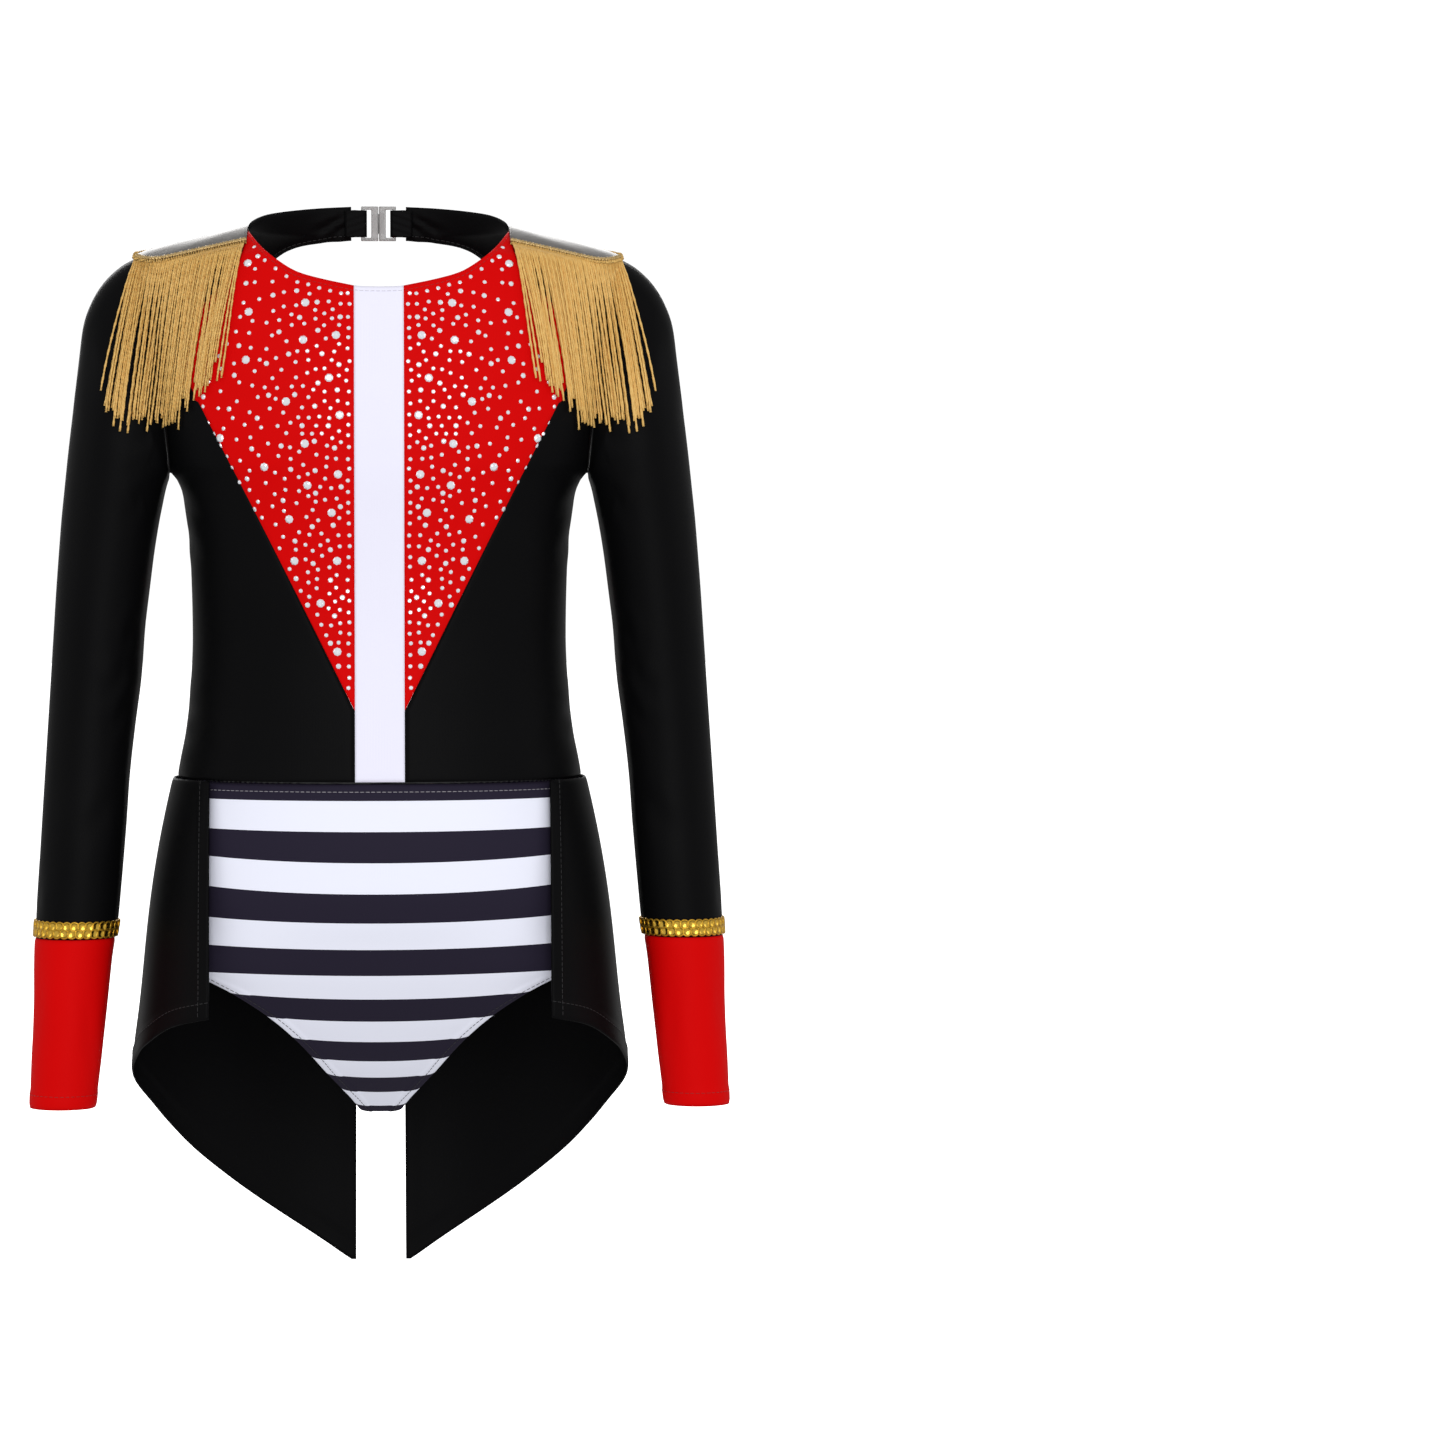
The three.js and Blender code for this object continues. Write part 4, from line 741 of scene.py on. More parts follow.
SIDE_CREASES = [  # start and end as angle and z, depth, width
    ((96, -150), (60, -176), 0.9, 9), ((92, -176), (66, -196), 0.6, 8), ((94, -300), (48, -309), 0.7, 8),
    ((92, -286), (60, -292), 0.5, 7), ((80, -96), (70, -128), 0.6, 7),
]
CREASE_BOW = 3  # how far the middle of a crease rises over its ends

side_sheet, back_edge = side_panel()
side_sheet = welded(side_sheet)
for start, end, depth, width in SIDE_CREASES:
    angles, levels = np.linspace(start[0], end[0], 5), np.linspace(start[1], end[1], 5)
    levels = levels + CREASE_BOW * np.sin(np.linspace(0, math.pi, 5))
    crease(side_sheet, body.point(angles, levels), depth, width)
side_sheet = roll_edges(raise_hem(side_sheet, back_edge, BINDING))
side_panels = add_pair("side_panel", "black_jersey", side_sheet, black_tricot)

# %% [markdown]
# ## Back shoulder and neck strap
#
# This piece follows the armhole up, turns over the shoulder seam and ends in the strap behind the neck. Its
# inner edge is bound, and its end is gathered where it goes through the clasp, so small puckers fan out
# from there.

# %% Back yokes
YOKE = [  # outer x and z, inner x and z
    (124.7, -141.1, 117.6, -141.1), (129, -139.5, 118.3, -136), (136.5, -134, 118.8, -129),
    (141, -125, 118.6, -119), (144, -112, 117.6, -107), (145.5, -99, 116, -95), (145.6, -78, 110.5, -80),
    (145.1, -60, 103, -66), (144.6, -42, 95, -54), (144.2, -26, 88, -44), (143.2, -14, 81.5, -35.5),
    (126.5, -10, 76.5, -29), (107.5, -5.5, 72, -23.5), (91, -1.5, 67.5, -18), (78.6, 1.8, 62.5, -13),
    (74.5, 8, 55, -8.2), (66, 12.8, 47, -5.4), (48.5, 16.2, 36, -3.5), (31, 18, 26, -2.4),
    (16.5, 18.8, 16.5, -1.7),
]
TIP_ROW, NECK_ROW = 10, 14  # rows at the two ends of the shoulder seam
yoke_at = by_row(YOKE)


def yoke_outer(row):
    out_x, out_z = yoke_at(row)[..., 0], yoke_at(row)[..., 1]
    on_shoulder = (row >= TIP_ROW) & (row <= NECK_ROW)
    return np.where(on_shoulder, 90, body.angle_at(out_x, out_z, True)), out_z


def back_yoke():
    row = np.linspace(0, len(YOKE) - 1, 20 * 7 + 1)
    out_x, out_z, in_x, in_z = (column[:, None] for column in yoke_at(row).T)
    outer = yoke_outer(row)[0][:, None]
    share = np.linspace(0, 1, 26)[None]
    z = mix(out_z, in_z, share)
    straight = body.angle_at(mix(out_x, in_x, share), z, True)
    turned = mix(outer, body.angle_at(in_x, in_z, True), share)
    on_neck = smooth_step(row, NECK_ROW - 0.4, NECK_ROW + 0.8)[:, None]
    return body.point(mix(turned, straight, on_neck), z)


PUCKERS = [(20, 9, -1, 1.0), (24, 13, 4, 0.8), (23, 2, -4, 0.7), (30, 8, 3, 0.5)]  # x, upper z, lower z, depth
PUCKER_WIDTH = 2.2

yoke_points = back_yoke()
yoke_sheet = welded(sheet_of(yoke_points))
for x, high, low, depth in PUCKERS:
    z = np.linspace(high, low, 5)
    reach = np.linspace(x - 3, x + 12, 5)
    crease(yoke_sheet, body.point(body.angle_at(reach, z, True), z), depth, PUCKER_WIDTH)
crease(yoke_sheet, body.point(np.array([110, 118, 124]), np.array([-60, -84, -112])), 0.9, 7)
crease(yoke_sheet, body.point(np.array([104, 108, 110]), np.array([-96, -118, -134])), 0.8, 6)
yoke_sheet = roll_edges(raise_hem(yoke_sheet, yoke_points[:, -1], BINDING))
yokes = add_pair("back_yoke", "black_jersey", yoke_sheet, black_tricot)

# %% [markdown]
# ## Sleeves and cuffs
#
# A set-in sleeve starts on the outline of the armhole and turns within a few centimetres into a plain tube.
# Each ring is an ellipse between an outer and an inner point. The rings near the shoulder keep a share of
# the difference between the armhole's own outline and the first ellipse, so the two meet without a step.

# %% The armhole's outline
ARM = [  # outer x and z, inner x and z, middle y, half depth, share of the armhole's outline
    (143.2, -14, 124.5, -141.5, -7, 30, 1), (153, -19.5, 125, -143.5, -8.5, 33, 1),
    (163.5, -29.5, 125.2, -146, -10, 35.5, 0.92), (170.5, -41, 126, -149, -11, 37.5, 0.7),
    (175.3, -55, 127, -153, -12, 38, 0.42), (178, -76, 128.6, -161, -12.5, 37.5, 0.16),
    (181.3, -104, 131.1, -174, -13, 36.5, 0), (185.1, -136, 133.7, -190, -13, 35, 0),
    (188.7, -172, 136.4, -211, -13.5, 33, 0), (191.6, -208, 139.3, -235, -14.5, 31, 0),
    (193.9, -244, 141.3, -262, -16, 29.5, 0), (196.2, -280, 145, -291, -17.5, 28.5, 0),
    (198.5, -316, 148.5, -322, -19.5, 27.5, 0), (200.7, -351, 150.7, -353, -21.5, 26.8, 0),
    (202.7, -384, 153.3, -384, -23.5, 26, 0), (204.2, -408, 155.6, -408, -25, 25.4, 0),
    (204.9, -418, 157.2, -418, -25.7, 25, 0), (205.3, -428, 158.8, -428, -26.4, 24.6, 0),
    (205.6, -460, 162.2, -460, -28.6, 23.6, 0), (207.1, -492, 165.8, -492, -30.8, 22.4, 0),
    (208, -518.5, 169, -518.5, -33, 21, 0),
]
CUFF_ROW = 16
arm_at = by_row(ARM)


def armhole():
    """The armhole from the shoulder tip down the back and up the front, and each place's turn round the arm."""
    row = np.linspace(TIP_ROW, 0, 61)
    angle, z = yoke_outer(row)
    back = body.point(angle, z)
    z = np.linspace(UNDERARM_Z, SHOULDER_TIP_Z, 61)
    front = body.point(body.angle_at(armhole_front(z)[..., 0], z), z)
    turns = []
    for half, start in ((back, 0), (front, math.pi)):
        lengths = np.r_[0, np.cumsum(np.linalg.norm(np.diff(half, axis=0), axis=1))]
        turns.append(start + math.pi * lengths / lengths[-1])
    return np.vstack([back, front[1:]]), np.r_[turns[0], turns[1][1:]]


armhole_points, armhole_turns = armhole()


def arm_rings(rows):
    out_x, out_z, in_x, in_z, y, depth, share = (column[:, None] for column in arm_at(rows).T)
    cosine, sine = np.cos(armhole_turns)[None], np.sin(armhole_turns)[None]

    def ellipse(out_x, out_z, in_x, in_z, y, depth):
        x = (out_x + in_x) / 2 + (out_x - in_x) / 2 * cosine
        z = (out_z + in_z) / 2 + (out_z - in_z) / 2 * cosine
        return np.stack([x, y + depth * sine + 0 * x, z], -1)

    own = armhole_points[None] - ellipse(*ARM[0][:6])
    return ellipse(out_x, out_z, in_x, in_z, y, depth) + own * share[..., None]


sleeve_points = arm_rings(np.linspace(0, CUFF_ROW, 130))
cuff_points = arm_rings(np.linspace(CUFF_ROW, len(ARM) - 1, 48))
print("armhole", round(np.linalg.norm(np.diff(armhole_points, axis=0), axis=1).sum()), "mm round")

# %% [markdown]
# ### Creases of the sleeve
#
# The arm hangs slightly bent, so the inner side of the elbow has short slanting troughs, the shoulder has a
# drag line that points to the underarm, and the forearm has a few long, shallow ones. A crease is placed by
# rows of the arm and by turns round it: 0 is outside, 0.25 back, 0.5 inside and 0.75 front.

# %% Sleeves
SLEEVE_CREASES = [  # from row and turn, to row and turn, depth, width
    (1.2, 0.63, 4.2, 0.72, 1.0, 6), (1.0, 0.38, 4.0, 0.29, 1.0, 6), (5.2, 0.58, 6.8, 0.72, 0.7, 6),
    (8.8, 0.53, 9.8, 0.72, 0.8, 6), (9.6, 0.55, 10.6, 0.74, 0.9, 5.5), (10.5, 0.53, 11.2, 0.72, 0.7, 5.5),
    (9.2, 0.28, 10.2, 0.43, 0.7, 6), (12.2, 0.56, 13.3, 0.80, 0.7, 7), (13.8, 0.90, 15.4, 0.98, 0.5, 7),
    (14.2, 0.30, 15.6, 0.16, 0.7, 6), (6.4, 0.12, 8.8, 0.20, 0.6, 9), (3.2, 0.90, 5.8, 0.84, 0.5, 9),
]
CUFF_CREASES = [(17.0, 0.70, 19.4, 0.62, 0.5, 6), (16.6, 0.86, 18.6, 0.92, 0.4, 6), (17.2, 0.2, 19.2, 0.3, 0.5, 6)]
CUFF_HEM = 9


def on_arm(row, turn):
    ring = arm_rings(np.array([row]))[0]
    return [np.interp(turn * 2 * math.pi, armhole_turns, ring[:, k]) for k in range(3)]


def arm_creases(sheet, table, points, bend):
    """Each crease runs between two places of the arm, and bends to and fro a little on its way."""
    for row_a, turn_a, row_b, turn_b, depth, width in table:
        line = [
            on_arm(mix(row_a, row_b, t), mix(turn_a, turn_b, t) + bend * math.sin(6 * t))
            for t in np.linspace(0, 1, points)
        ]
        crease(sheet, line, depth, width)


sleeve_sheet = welded(sheet_of(sleeve_points, is_round=True))
arm_creases(sleeve_sheet, SLEEVE_CREASES, 9, 0.02)
sleeves = add_pair("sleeve", "black_jersey", roll_edges(sleeve_sheet), black_tricot)

cuff_sheet = welded(sheet_of(cuff_points, is_round=True))
arm_creases(cuff_sheet, CUFF_CREASES, 7, 0)
cuff_sheet = roll_edges(raise_hem(cuff_sheet, cuff_points[-1], CUFF_HEM))
cuffs = add_pair("cuff", "red_jersey", cuff_sheet, red_tricot)

# %% [markdown]
# ## Striped brief
#
# The brief has a front and a back, each drawn by rows across: every row has a point on the centre line and
# two ends, on the side seam or on the leg edge. Stripes run along the rows, so the flat place of a point is
# the length of the centre line down to its row. The cloth was cut flat and is drawn up at the sides, so the
# stripes rise a few millimetres towards them. The leg edges are turned under and stitched.

# %% Brief
BRIEF_TOP_Z = -324.9
BRIEF_FRONT = [  # middle y and z, end x, y and z
    (-79.6, BRIEF_TOP_Z, 119.8, 0, BRIEF_TOP_Z), (-84.5, -342, 124.6, 0, -342), (-87, -365, 129.2, 0, -365),
    (-87, -386, 133, 0, -388), (-82.5, -404, 135, -2, -408), (-74.5, -420, 124, -30, -423),
    (-65.5, -437, 108, -47, -439), (-55, -452, 88.5, -47, -449.5), (-43, -467, 67.5, -39.5, -464),
    (-31, -480, 53.7, -29, -476.5), (-17.5, -493.5, 41.7, -16.5, -490), (-3.5, -504.5, 33.5, -4, -500.5),
    (11, -514.5, 25, 9.5, -511), (24, -523, 17.8, 22.5, -520), (36, -530.5, 12.7, 35, -528),
]
BRIEF_BACK = [
    (79.8, BRIEF_TOP_Z, 119.8, 0, BRIEF_TOP_Z), (85.8, -342, 124.6, 0, -342), (92, -363, 129.2, 0, -365),
    (96, -385, 133, 0, -388), (97.5, -406, 135, 2, -408), (97, -426, 128, 24, -421), (94, -446, 114, 43.5, -438),
    (88.5, -465, 87, 57, -458), (80.5, -482, 60, 60, -478), (71, -497.5, 41.5, 60, -495.5),
    (60, -511, 28.5, 55, -509.5), (48, -522.5, 17.5, 47.5, -520.5), (36, -530.5, 12.7, 35, -528),
]
BRIEF_FULLNESS, BRIEF_STEPS = 2.12, 9  # steps of the grid between two rows of a table
STRIPE_RISE = 4.5  # by which a stripe rises towards the side seam
LEG_ROW = 4  # the row at which the side seam ends and the leg edge starts
LEG_HEM = 8


def brief_points(table):
    row = np.linspace(0, len(table) - 1, (len(table) - 1) * BRIEF_STEPS + 1)
    middle_y, middle_z, end_x, end_y, end_z = (column[:, None] for column in by_row(table)(row).T)
    turn = np.linspace(-1, 1, 97)[None] * math.pi / 2
    power = 2 / BRIEF_FULLNESS
    out = np.sign(turn) * np.abs(np.sin(turn)) ** power
    near = np.where(np.abs(np.cos(turn)) > 1e-9, np.abs(np.cos(turn)) ** power, 0)
    points = np.stack([end_x * out, mix(end_y, middle_y, near), mix(end_z, middle_z, near)], -1)
    return points, row


def brief_sheet(table, facing):
    points, row = brief_points(table)
    centre = points[:, points.shape[1] // 2]
    down = np.r_[0, np.cumsum(np.linalg.norm(np.diff(centre, axis=0), axis=1))]
    steps = np.linalg.norm(np.diff(points, axis=1), axis=-1)
    across = np.concatenate([np.zeros((len(points), 1)), np.cumsum(steps, axis=1)], axis=1)
    across -= across[:, points.shape[1] // 2][:, None]
    rise = STRIPE_RISE * smooth_step(down, 15, 60)[:, None] * np.minimum(np.abs(across) / 110, 1.2) ** 2
    flat = np.stack([across, down[:, None] + rise], -1)
    legs = np.vstack([points[row >= LEG_ROW, 0], points[row >= LEG_ROW, -1]])
    sheet = welded(sheet_of(points, flat=flat, facing=facing))
    return sheet, legs, points


front_sheet, front_legs, front_grid = brief_sheet(BRIEF_FRONT, 1)
back_sheet, back_legs, back_grid = brief_sheet(BRIEF_BACK, -1)
for sheet, legs in ((front_sheet, front_legs), (back_sheet, back_legs)):
    roll_edges(raise_hem(sheet, legs, LEG_HEM))
raise_hem(front_sheet, front_grid[0], WAIST_HEM)
briefs = [
    add_cloth("brief_front_cloth", "brief_front", "striped_jersey", front_sheet, front_stripes),
    add_cloth("brief_back_cloth", "brief_back", "striped_jersey", back_sheet, back_stripes),
]

# %% [markdown]
# ## Tailcoat skirt
#
# The skirt is open in front. Each half is sewn to the waist, runs from its straight front edge round the side
# to the centre back, and falls to a point. Below a short seam the centre back is left open. All free edges
# are hemmed. It hangs from the waist only, so it has long, shallow waves that grow towards the hem.

# %% Skirt
SKIRT_TOP_Z, SKIRT_FRONT_X, SLIT_TOP_Z = -324, 101, -378
HEM = [  # angle, z
    (42, -463), (56, -469), (69, -480), (90, -495), (111, -519), (124.5, -540), (135.6, -560), (147, -580),
    (158, -599), (168.8, -619), (174.5, -631),
]
SLIT = [(SLIT_TOP_Z, 0), (-388, 5.8), (-421, 10.7), (-453, 13.2), (-480, 14.8), (-634, 15.5)]  # z, x
SKIRT_HEM, SLIT_HEM = 11, 8


def skirt_half():
    hem, slit = curve_through(HEM), curve_through(SLIT)
    share, drop = np.linspace(0, 1, 150)[None], np.linspace(0, 1, 100)[:, None]

    def front(z):
        return skirt_form.angle_at(SKIRT_FRONT_X, z)

    def back(z):
        return skirt_form.angle_at(np.where(z > SLIT_TOP_Z, 0, slit(z)[..., 0]), z, True)

    low_front, low_back = front(np.array(HEM[0][1])), back(np.array(HEM[-1][1]))
    z = mix(SKIRT_TOP_Z, hem(mix(low_front, low_back, share))[..., 0], drop)
    angle = mix(front(z), back(z), share)
    points = skirt_form.point(angle, z)
    wave = 1.3 * np.sin(share * 13 + 1) + 0.8 * np.sin(share * 27 + 2.2)
    lift = wave * drop**1.6 * smooth_step(share, 0, 0.08) * smooth_step(1 - share, 0, 0.08)
    return points + skirt_form.normal(angle, z) * lift[..., None]


skirt_points = skirt_half()
skirt_sheet = welded(sheet_of(skirt_points))
raise_hem(skirt_sheet, skirt_points[-1], SKIRT_HEM)
slit_edge = skirt_points[:, -1][skirt_points[:, -1, 2] < SLIT_TOP_Z]
raise_hem(skirt_sheet, np.vstack([skirt_points[:, 0], slit_edge]), SLIT_HEM)
skirts = add_pair("skirt", "black_jersey", roll_edges(skirt_sheet), black_tricot, held="hung")

# %% [markdown]
# ## Straps across the back
#
# Four narrow red elastics cross on the back. Each is a band with a slightly crowned face. Its ends lie under
# the panels' edges, and in the middle one of each two rises over its partner.

# %% Back straps
STRAP_WIDTH, STRAP_THICK, STRAP_RISE, STRAP_UNDER = 8.4, 1.2, 2, 2.05
UPPER_STRAP = [  # angle, z
    (102.5, -151), (117.6, -171), (133, -187), (145.2, -197.5), (165.8, -209.5), (180, -216), (195.6, -223),
    (203.6, -224.5), (213.5, -224), (223.6, -221.5), (237, -216), (250, -209.5), (267, -203.5),
]
LOWER_STRAP = [
    (93, -217), (106, -225), (127, -238), (145, -253), (163, -263), (180, -268.5), (195, -275), (212, -279),
    (232, -282.5), (250, -286), (264, -289),
]


def strap_sheet(table, rise):
    angle = np.linspace(table[0][0], table[-1][0], 160)
    z = curve_through(table)(angle)[..., 0]
    centre = body.point(angle, z)
    normal = body.normal(angle, z)
    across = unit(np.cross(np.gradient(centre, axis=0), normal))
    lift = rise * np.exp(-(((angle - 180) / 21) ** 2)) - STRAP_UNDER
    side = np.linspace(-1, 1, 11)
    crown = -0.3 * np.abs(side) ** 3
    offsets = across[:, None] * side[None, :, None] * STRAP_WIDTH / 2
    points = (centre + normal * lift[:, None])[:, None] + offsets + normal[:, None] * crown[None, :, None]
    middle = centre + normal * lift[:, None]
    return welded(sheet_of(points)), middle, normal


STRAPS = [  # line, rise in the middle, whether it is mirrored
    (UPPER_STRAP, STRAP_RISE, False), (UPPER_STRAP, 0, True), (LOWER_STRAP, 0, False), (LOWER_STRAP, STRAP_RISE, True),
]
strap_paths, straps = [], []
for number, (table, rise, is_mirrored) in enumerate(STRAPS, 1):
    sheet, middle, outward = strap_sheet(table, rise)
    if is_mirrored:
        sheet, middle, outward = mirrored(sheet), flipped(middle), flipped(outward)
    node = f"back_strap_{number}"
    straps.append(add_cloth(f"{node}_cloth", node, "red_binding", sheet, red_elastic, thick=STRAP_THICK))
    strap_paths.append((middle, outward))

# %% [markdown]
# ## Glued stones
#
# A flat-backed stone has a table on top, a ring of crown facets and a thin girdle. Hundreds of them are
# copied into one mesh with arrays: each is turned to lie on the cloth and given a turn of its own, so that
# its facets catch the light in their own way.

# %% One stone, many times
FACETS = 8


def stones(name, slot, surface, places, outward, sizes, rng):
    turn = np.arange(FACETS) * 2 * math.pi / FACETS
    girdle = np.stack([np.cos(turn), np.sin(turn), 0 * turn + 0.12], -1)
    table = np.stack([0.55 * np.cos(turn + 0.39), 0.55 * np.sin(turn + 0.39), 0 * turn + 0.42], -1)
    base = girdle * [1, 1, 0] - [0, 0, 0.25]
    one = np.vstack([base, girdle, table])
    faces = [list(range(2 * FACETS, 3 * FACETS))]
    for k in range(FACETS):
        n = (k + 1) % FACETS
        faces += [[k, n, FACETS + n, FACETS + k], [FACETS + k, FACETS + n, 2 * FACETS + k],
                  [FACETS + n, 2 * FACETS + n, 2 * FACETS + k]]
    places, normals = laid(surface, places, outward, 0.02)
    side = unit(np.cross(normals, [0.3, 0.2, 1]))
    up = np.cross(normals, side)
    spin = rng.uniform(0, 6.28, len(places))[:, None]
    tilt = unit(normals + 0.14 * rng.normal(size=normals.shape))
    side, up = side * np.cos(spin) + up * np.sin(spin), -side * np.sin(spin) + up * np.cos(spin)
    axes = np.stack([side, up, tilt], 1)
    points = places[:, None] + np.einsum("kc,ncd->nkd", one, axes) * (np.asarray(sizes) / 2)[:, None, None]
    every = [[corner + n * len(one) for corner in face] for n in range(len(places)) for face in faces]
    print(name, len(places), "stones")
    return add_piece(name, [], slot, points.reshape(-1, 3), every, [foiled_glass], is_smooth=False)


# %% [markdown]
# ### Where the stones go
#
# Small stones are spread over the red panels, close together near the strip and the neckline and sparser
# outside. A row of slightly larger ones follows the strip and the neckline, and a few large ones are
# scattered between them. Candidates are drawn at random from a fixed seed, and one is kept only if it is far
# enough from all that were kept before.

# %% Stones on the red panels
SMALL, MEDIUM, LARGE = 2.4, 3.1, 5.0
STONE_STEP, EDGE_MARGIN, NECK_MARGIN = 6.4, 3.5, 8
rng = np.random.default_rng(21)

STONE_EDGE = [  # z, x; further out the fringe covers the panel, so no stones are glued there
    (NECK_POINT_Z, NECK_POINT_X), (-26, 81.5), (-54.4, 87.3), (-78, 99), (RED_CORNER_Z, 107), (-190, 60.6),
    (RED_TIP_Z, STRIP_HALF + 0.1),
]
stone_edge = curve_through(STONE_EDGE)


def scattered():
    z = np.arange(-38, -272, -STONE_STEP)
    kept = [(STRIP_HALF + 3.4 + 0.5 * rng.normal(), level + 0.5 * rng.normal(), SMALL) for level in z]
    across = np.arange(22, 76, STONE_STEP)
    kept += [(x, neckline(np.array(x))[0] - 6.2 + 0.4 * rng.normal(), SMALL) for x in across]
    for size, tries, apart in ((LARGE, 900, 19), (MEDIUM, 2500, 11), (SMALL, 14000, 4.9)):
        for x, z in zip(rng.uniform(STRIP_HALF + 5, 104, tries), rng.uniform(-275, -10, tries)):
            is_below = z < neckline(np.array(min(x, NECK_POINT_X)))[0] - NECK_MARGIN
            if x >= stone_edge(np.array(z))[0] - EDGE_MARGIN or not is_below:
                continue
            spread = apart * (1 + 0.5 * smooth_step(x - STRIP_HALF, 14, 70) + 0.1 * smooth_step(-z, 150, 260))
            clear = [spread if other == size else (size + other) / 2 + 1.7 for _, _, other in kept]
            if all((x - a) ** 2 + (z - b) ** 2 > gap**2 for (a, b, _), gap in zip(kept, clear)):
                kept.append((x, z, size))
    return np.array(kept)


front_stones = scattered()
stone_places = front_points(front_stones[:, 0], front_stones[:, 1])
stone_outward = body.normal(body.angle_at(front_stones[:, 0], front_stones[:, 1]), front_stones[:, 1])
for side, panel in zip(("left", "right"), red_fronts):
    name = f"stones_front_{side}"
    stones(name, "red_jersey", surface_of(panel), stone_places, stone_outward, front_stones[:, 2], rng)
    stone_places, stone_outward = flipped(stone_places), flipped(stone_outward)

# %% [markdown]
# ### A row on each strap
#
# The straps carry a single row of stones of one size, glued at an even step along the middle.

# %% Stones on the straps
STRAP_STONE, STRAP_STEP = 3.0, 7.0
for number, (middle, outward) in enumerate(strap_paths, 1):
    row = evenly(np.hstack([middle, outward]), STRAP_STEP)[1:-1]
    sizes = np.full(len(row), STRAP_STONE)
    surface = surface_of(straps[number - 1])
    stones(f"stones_strap_{number}", "red_binding", surface, row[:, :3], unit(row[:, 3:]), sizes, rng)

# %% [markdown]
# ## Topstitched hems
#
# Thread lines run along the neckline, the waist, the leg edges and the skirt's hems. Each line starts as the
# row of the grid that lies at the stitching's distance from the edge.

# %% Lines inside an edge


def inside(points, edge, by):
    """The line that lies by millimetres inside an edge, stepped along the grid's own lines from that edge."""
    grid = {"first_row": points, "last_row": points[::-1], "first_column": points.transpose(1, 0, 2),
            "last_column": points.transpose(1, 0, 2)[::-1]}[edge]
    lengths = np.concatenate([np.zeros((1, grid.shape[1])),
                              np.cumsum(np.linalg.norm(np.diff(grid, axis=0), axis=-1), axis=0)])
    line = [[np.interp(by, lengths[:, k], grid[:, k, axis]) for axis in range(3)] for k in range(grid.shape[1])]
    return np.array(line)


def outward_at(points, sheet):
    tree = KDTree(len(sheet["points"]))
    for number, place in enumerate(sheet["points"].tolist()):
        tree.insert(place, number)
    tree.balance()
    return sheet["normals"][[tree.find(point)[1] for point in points.tolist()]]


def both_sides(name, slot, pieces, sheet, lines, material):
    seams, made = [(line, outward_at(line, sheet)) for line in lines], []
    for side, piece in zip(("left", "right"), pieces):
        made.append(stitch(f"{name}_{side}", slot, surface_of(piece), seams, material))
        seams = [(flipped(line), flipped(outward)) for line, outward in seams]
    return made


def one_side(name, slot, piece, sheet, lines, material):
    seams = [(line, outward_at(line, sheet)) for line in lines]
    return stitch(name, slot, surface_of(piece), seams, material)


# %% [markdown]
# ### Which hems are stitched
#
# A hem is stitched a little inside the edge of its turned-in layer, so each line lies one margin short of the
# hem's width. The narrow hem of the neckline is stitched at a fixed distance, on the red panels and on the
# white strip alike.

# %% Stitches on skirt, neckline, cuffs and back
HEM_MARGIN, BINDING_MARGIN, NECK_LINE, CUFF_LINE, WAIST_LINE = 1.2, 1.3, 3.2, 8, 4.8
hem_line = inside(skirt_points, "last_row", SKIRT_HEM - HEM_MARGIN)
front_line = inside(skirt_points, "first_column", SLIT_HEM - HEM_MARGIN)
slit_line = inside(skirt_points, "last_column", SLIT_HEM - HEM_MARGIN)
slit_line = slit_line[slit_line[:, 2] < SLIT_TOP_Z - 4]
skirt_lines = [hem_line, front_line, slit_line]
skirt_thread = both_sides("skirt_stitches", "black_jersey", skirts, skirt_sheet, skirt_lines, black_thread)
neck_line = front_points(neck_x, neckline(neck_x)[..., 0] - NECK_LINE)
neck_thread = both_sides("neck_stitches", "red_jersey", red_fronts, red_sheet, [neck_line], red_thread)
cuff_line = inside(cuff_points, "last_row", CUFF_LINE)
cuff_thread = both_sides("cuff_stitches", "red_jersey", cuffs, cuff_sheet, [cuff_line], red_thread)
yoke_line = inside(yoke_points, "last_column", BINDING - BINDING_MARGIN)
yoke_thread = both_sides("yoke_stitches", "black_jersey", yokes, yoke_sheet, [yoke_line], black_thread)
strip_line = inside(strip_points, "first_row", NECK_LINE)
strip_thread = one_side("strip_stitches", "white_jersey", white_strip, strip_sheet, [strip_line], white_thread)
print("stitched lines", [round(len(line)) for line in (hem_line, neck_line, cuff_line, yoke_line)], "points")

# %% [markdown]
# ### Stitches on the brief
#
# The leg edges are stitched in black on front and back. The waist hem shows on the front only, in grey.

# %% Stitches on the brief
LEG_START = LEG_ROW * BRIEF_STEPS + 1
for name, piece, sheet, grid in zip(("front", "back"), briefs, (front_sheet, back_sheet), (front_grid, back_grid)):
    lines = [inside(grid[LEG_START:], edge, LEG_HEM - HEM_MARGIN) for edge in ("first_column", "last_column")]
    one_side(f"leg_stitches_{name}", "striped_jersey", piece, sheet, lines, black_thread)
waist_line = inside(front_grid, "first_row", WAIST_LINE)
waist_thread = one_side("waist_stitches", "striped_jersey", briefs[0], front_sheet, [waist_line], grey_thread)
print("leg edge", len(lines[0]), "points a side")

# %% [markdown]
# ## Braid round the cuffs
#
# The trim is a sequin braid: two rows of small cupped sequins held by a looped gold thread, which gives it
# scalloped edges. Each loop is a ring of metal thread that lies on the sleeve, with a sequin in its middle.
# The rings of both rows are one mesh for each cuff.

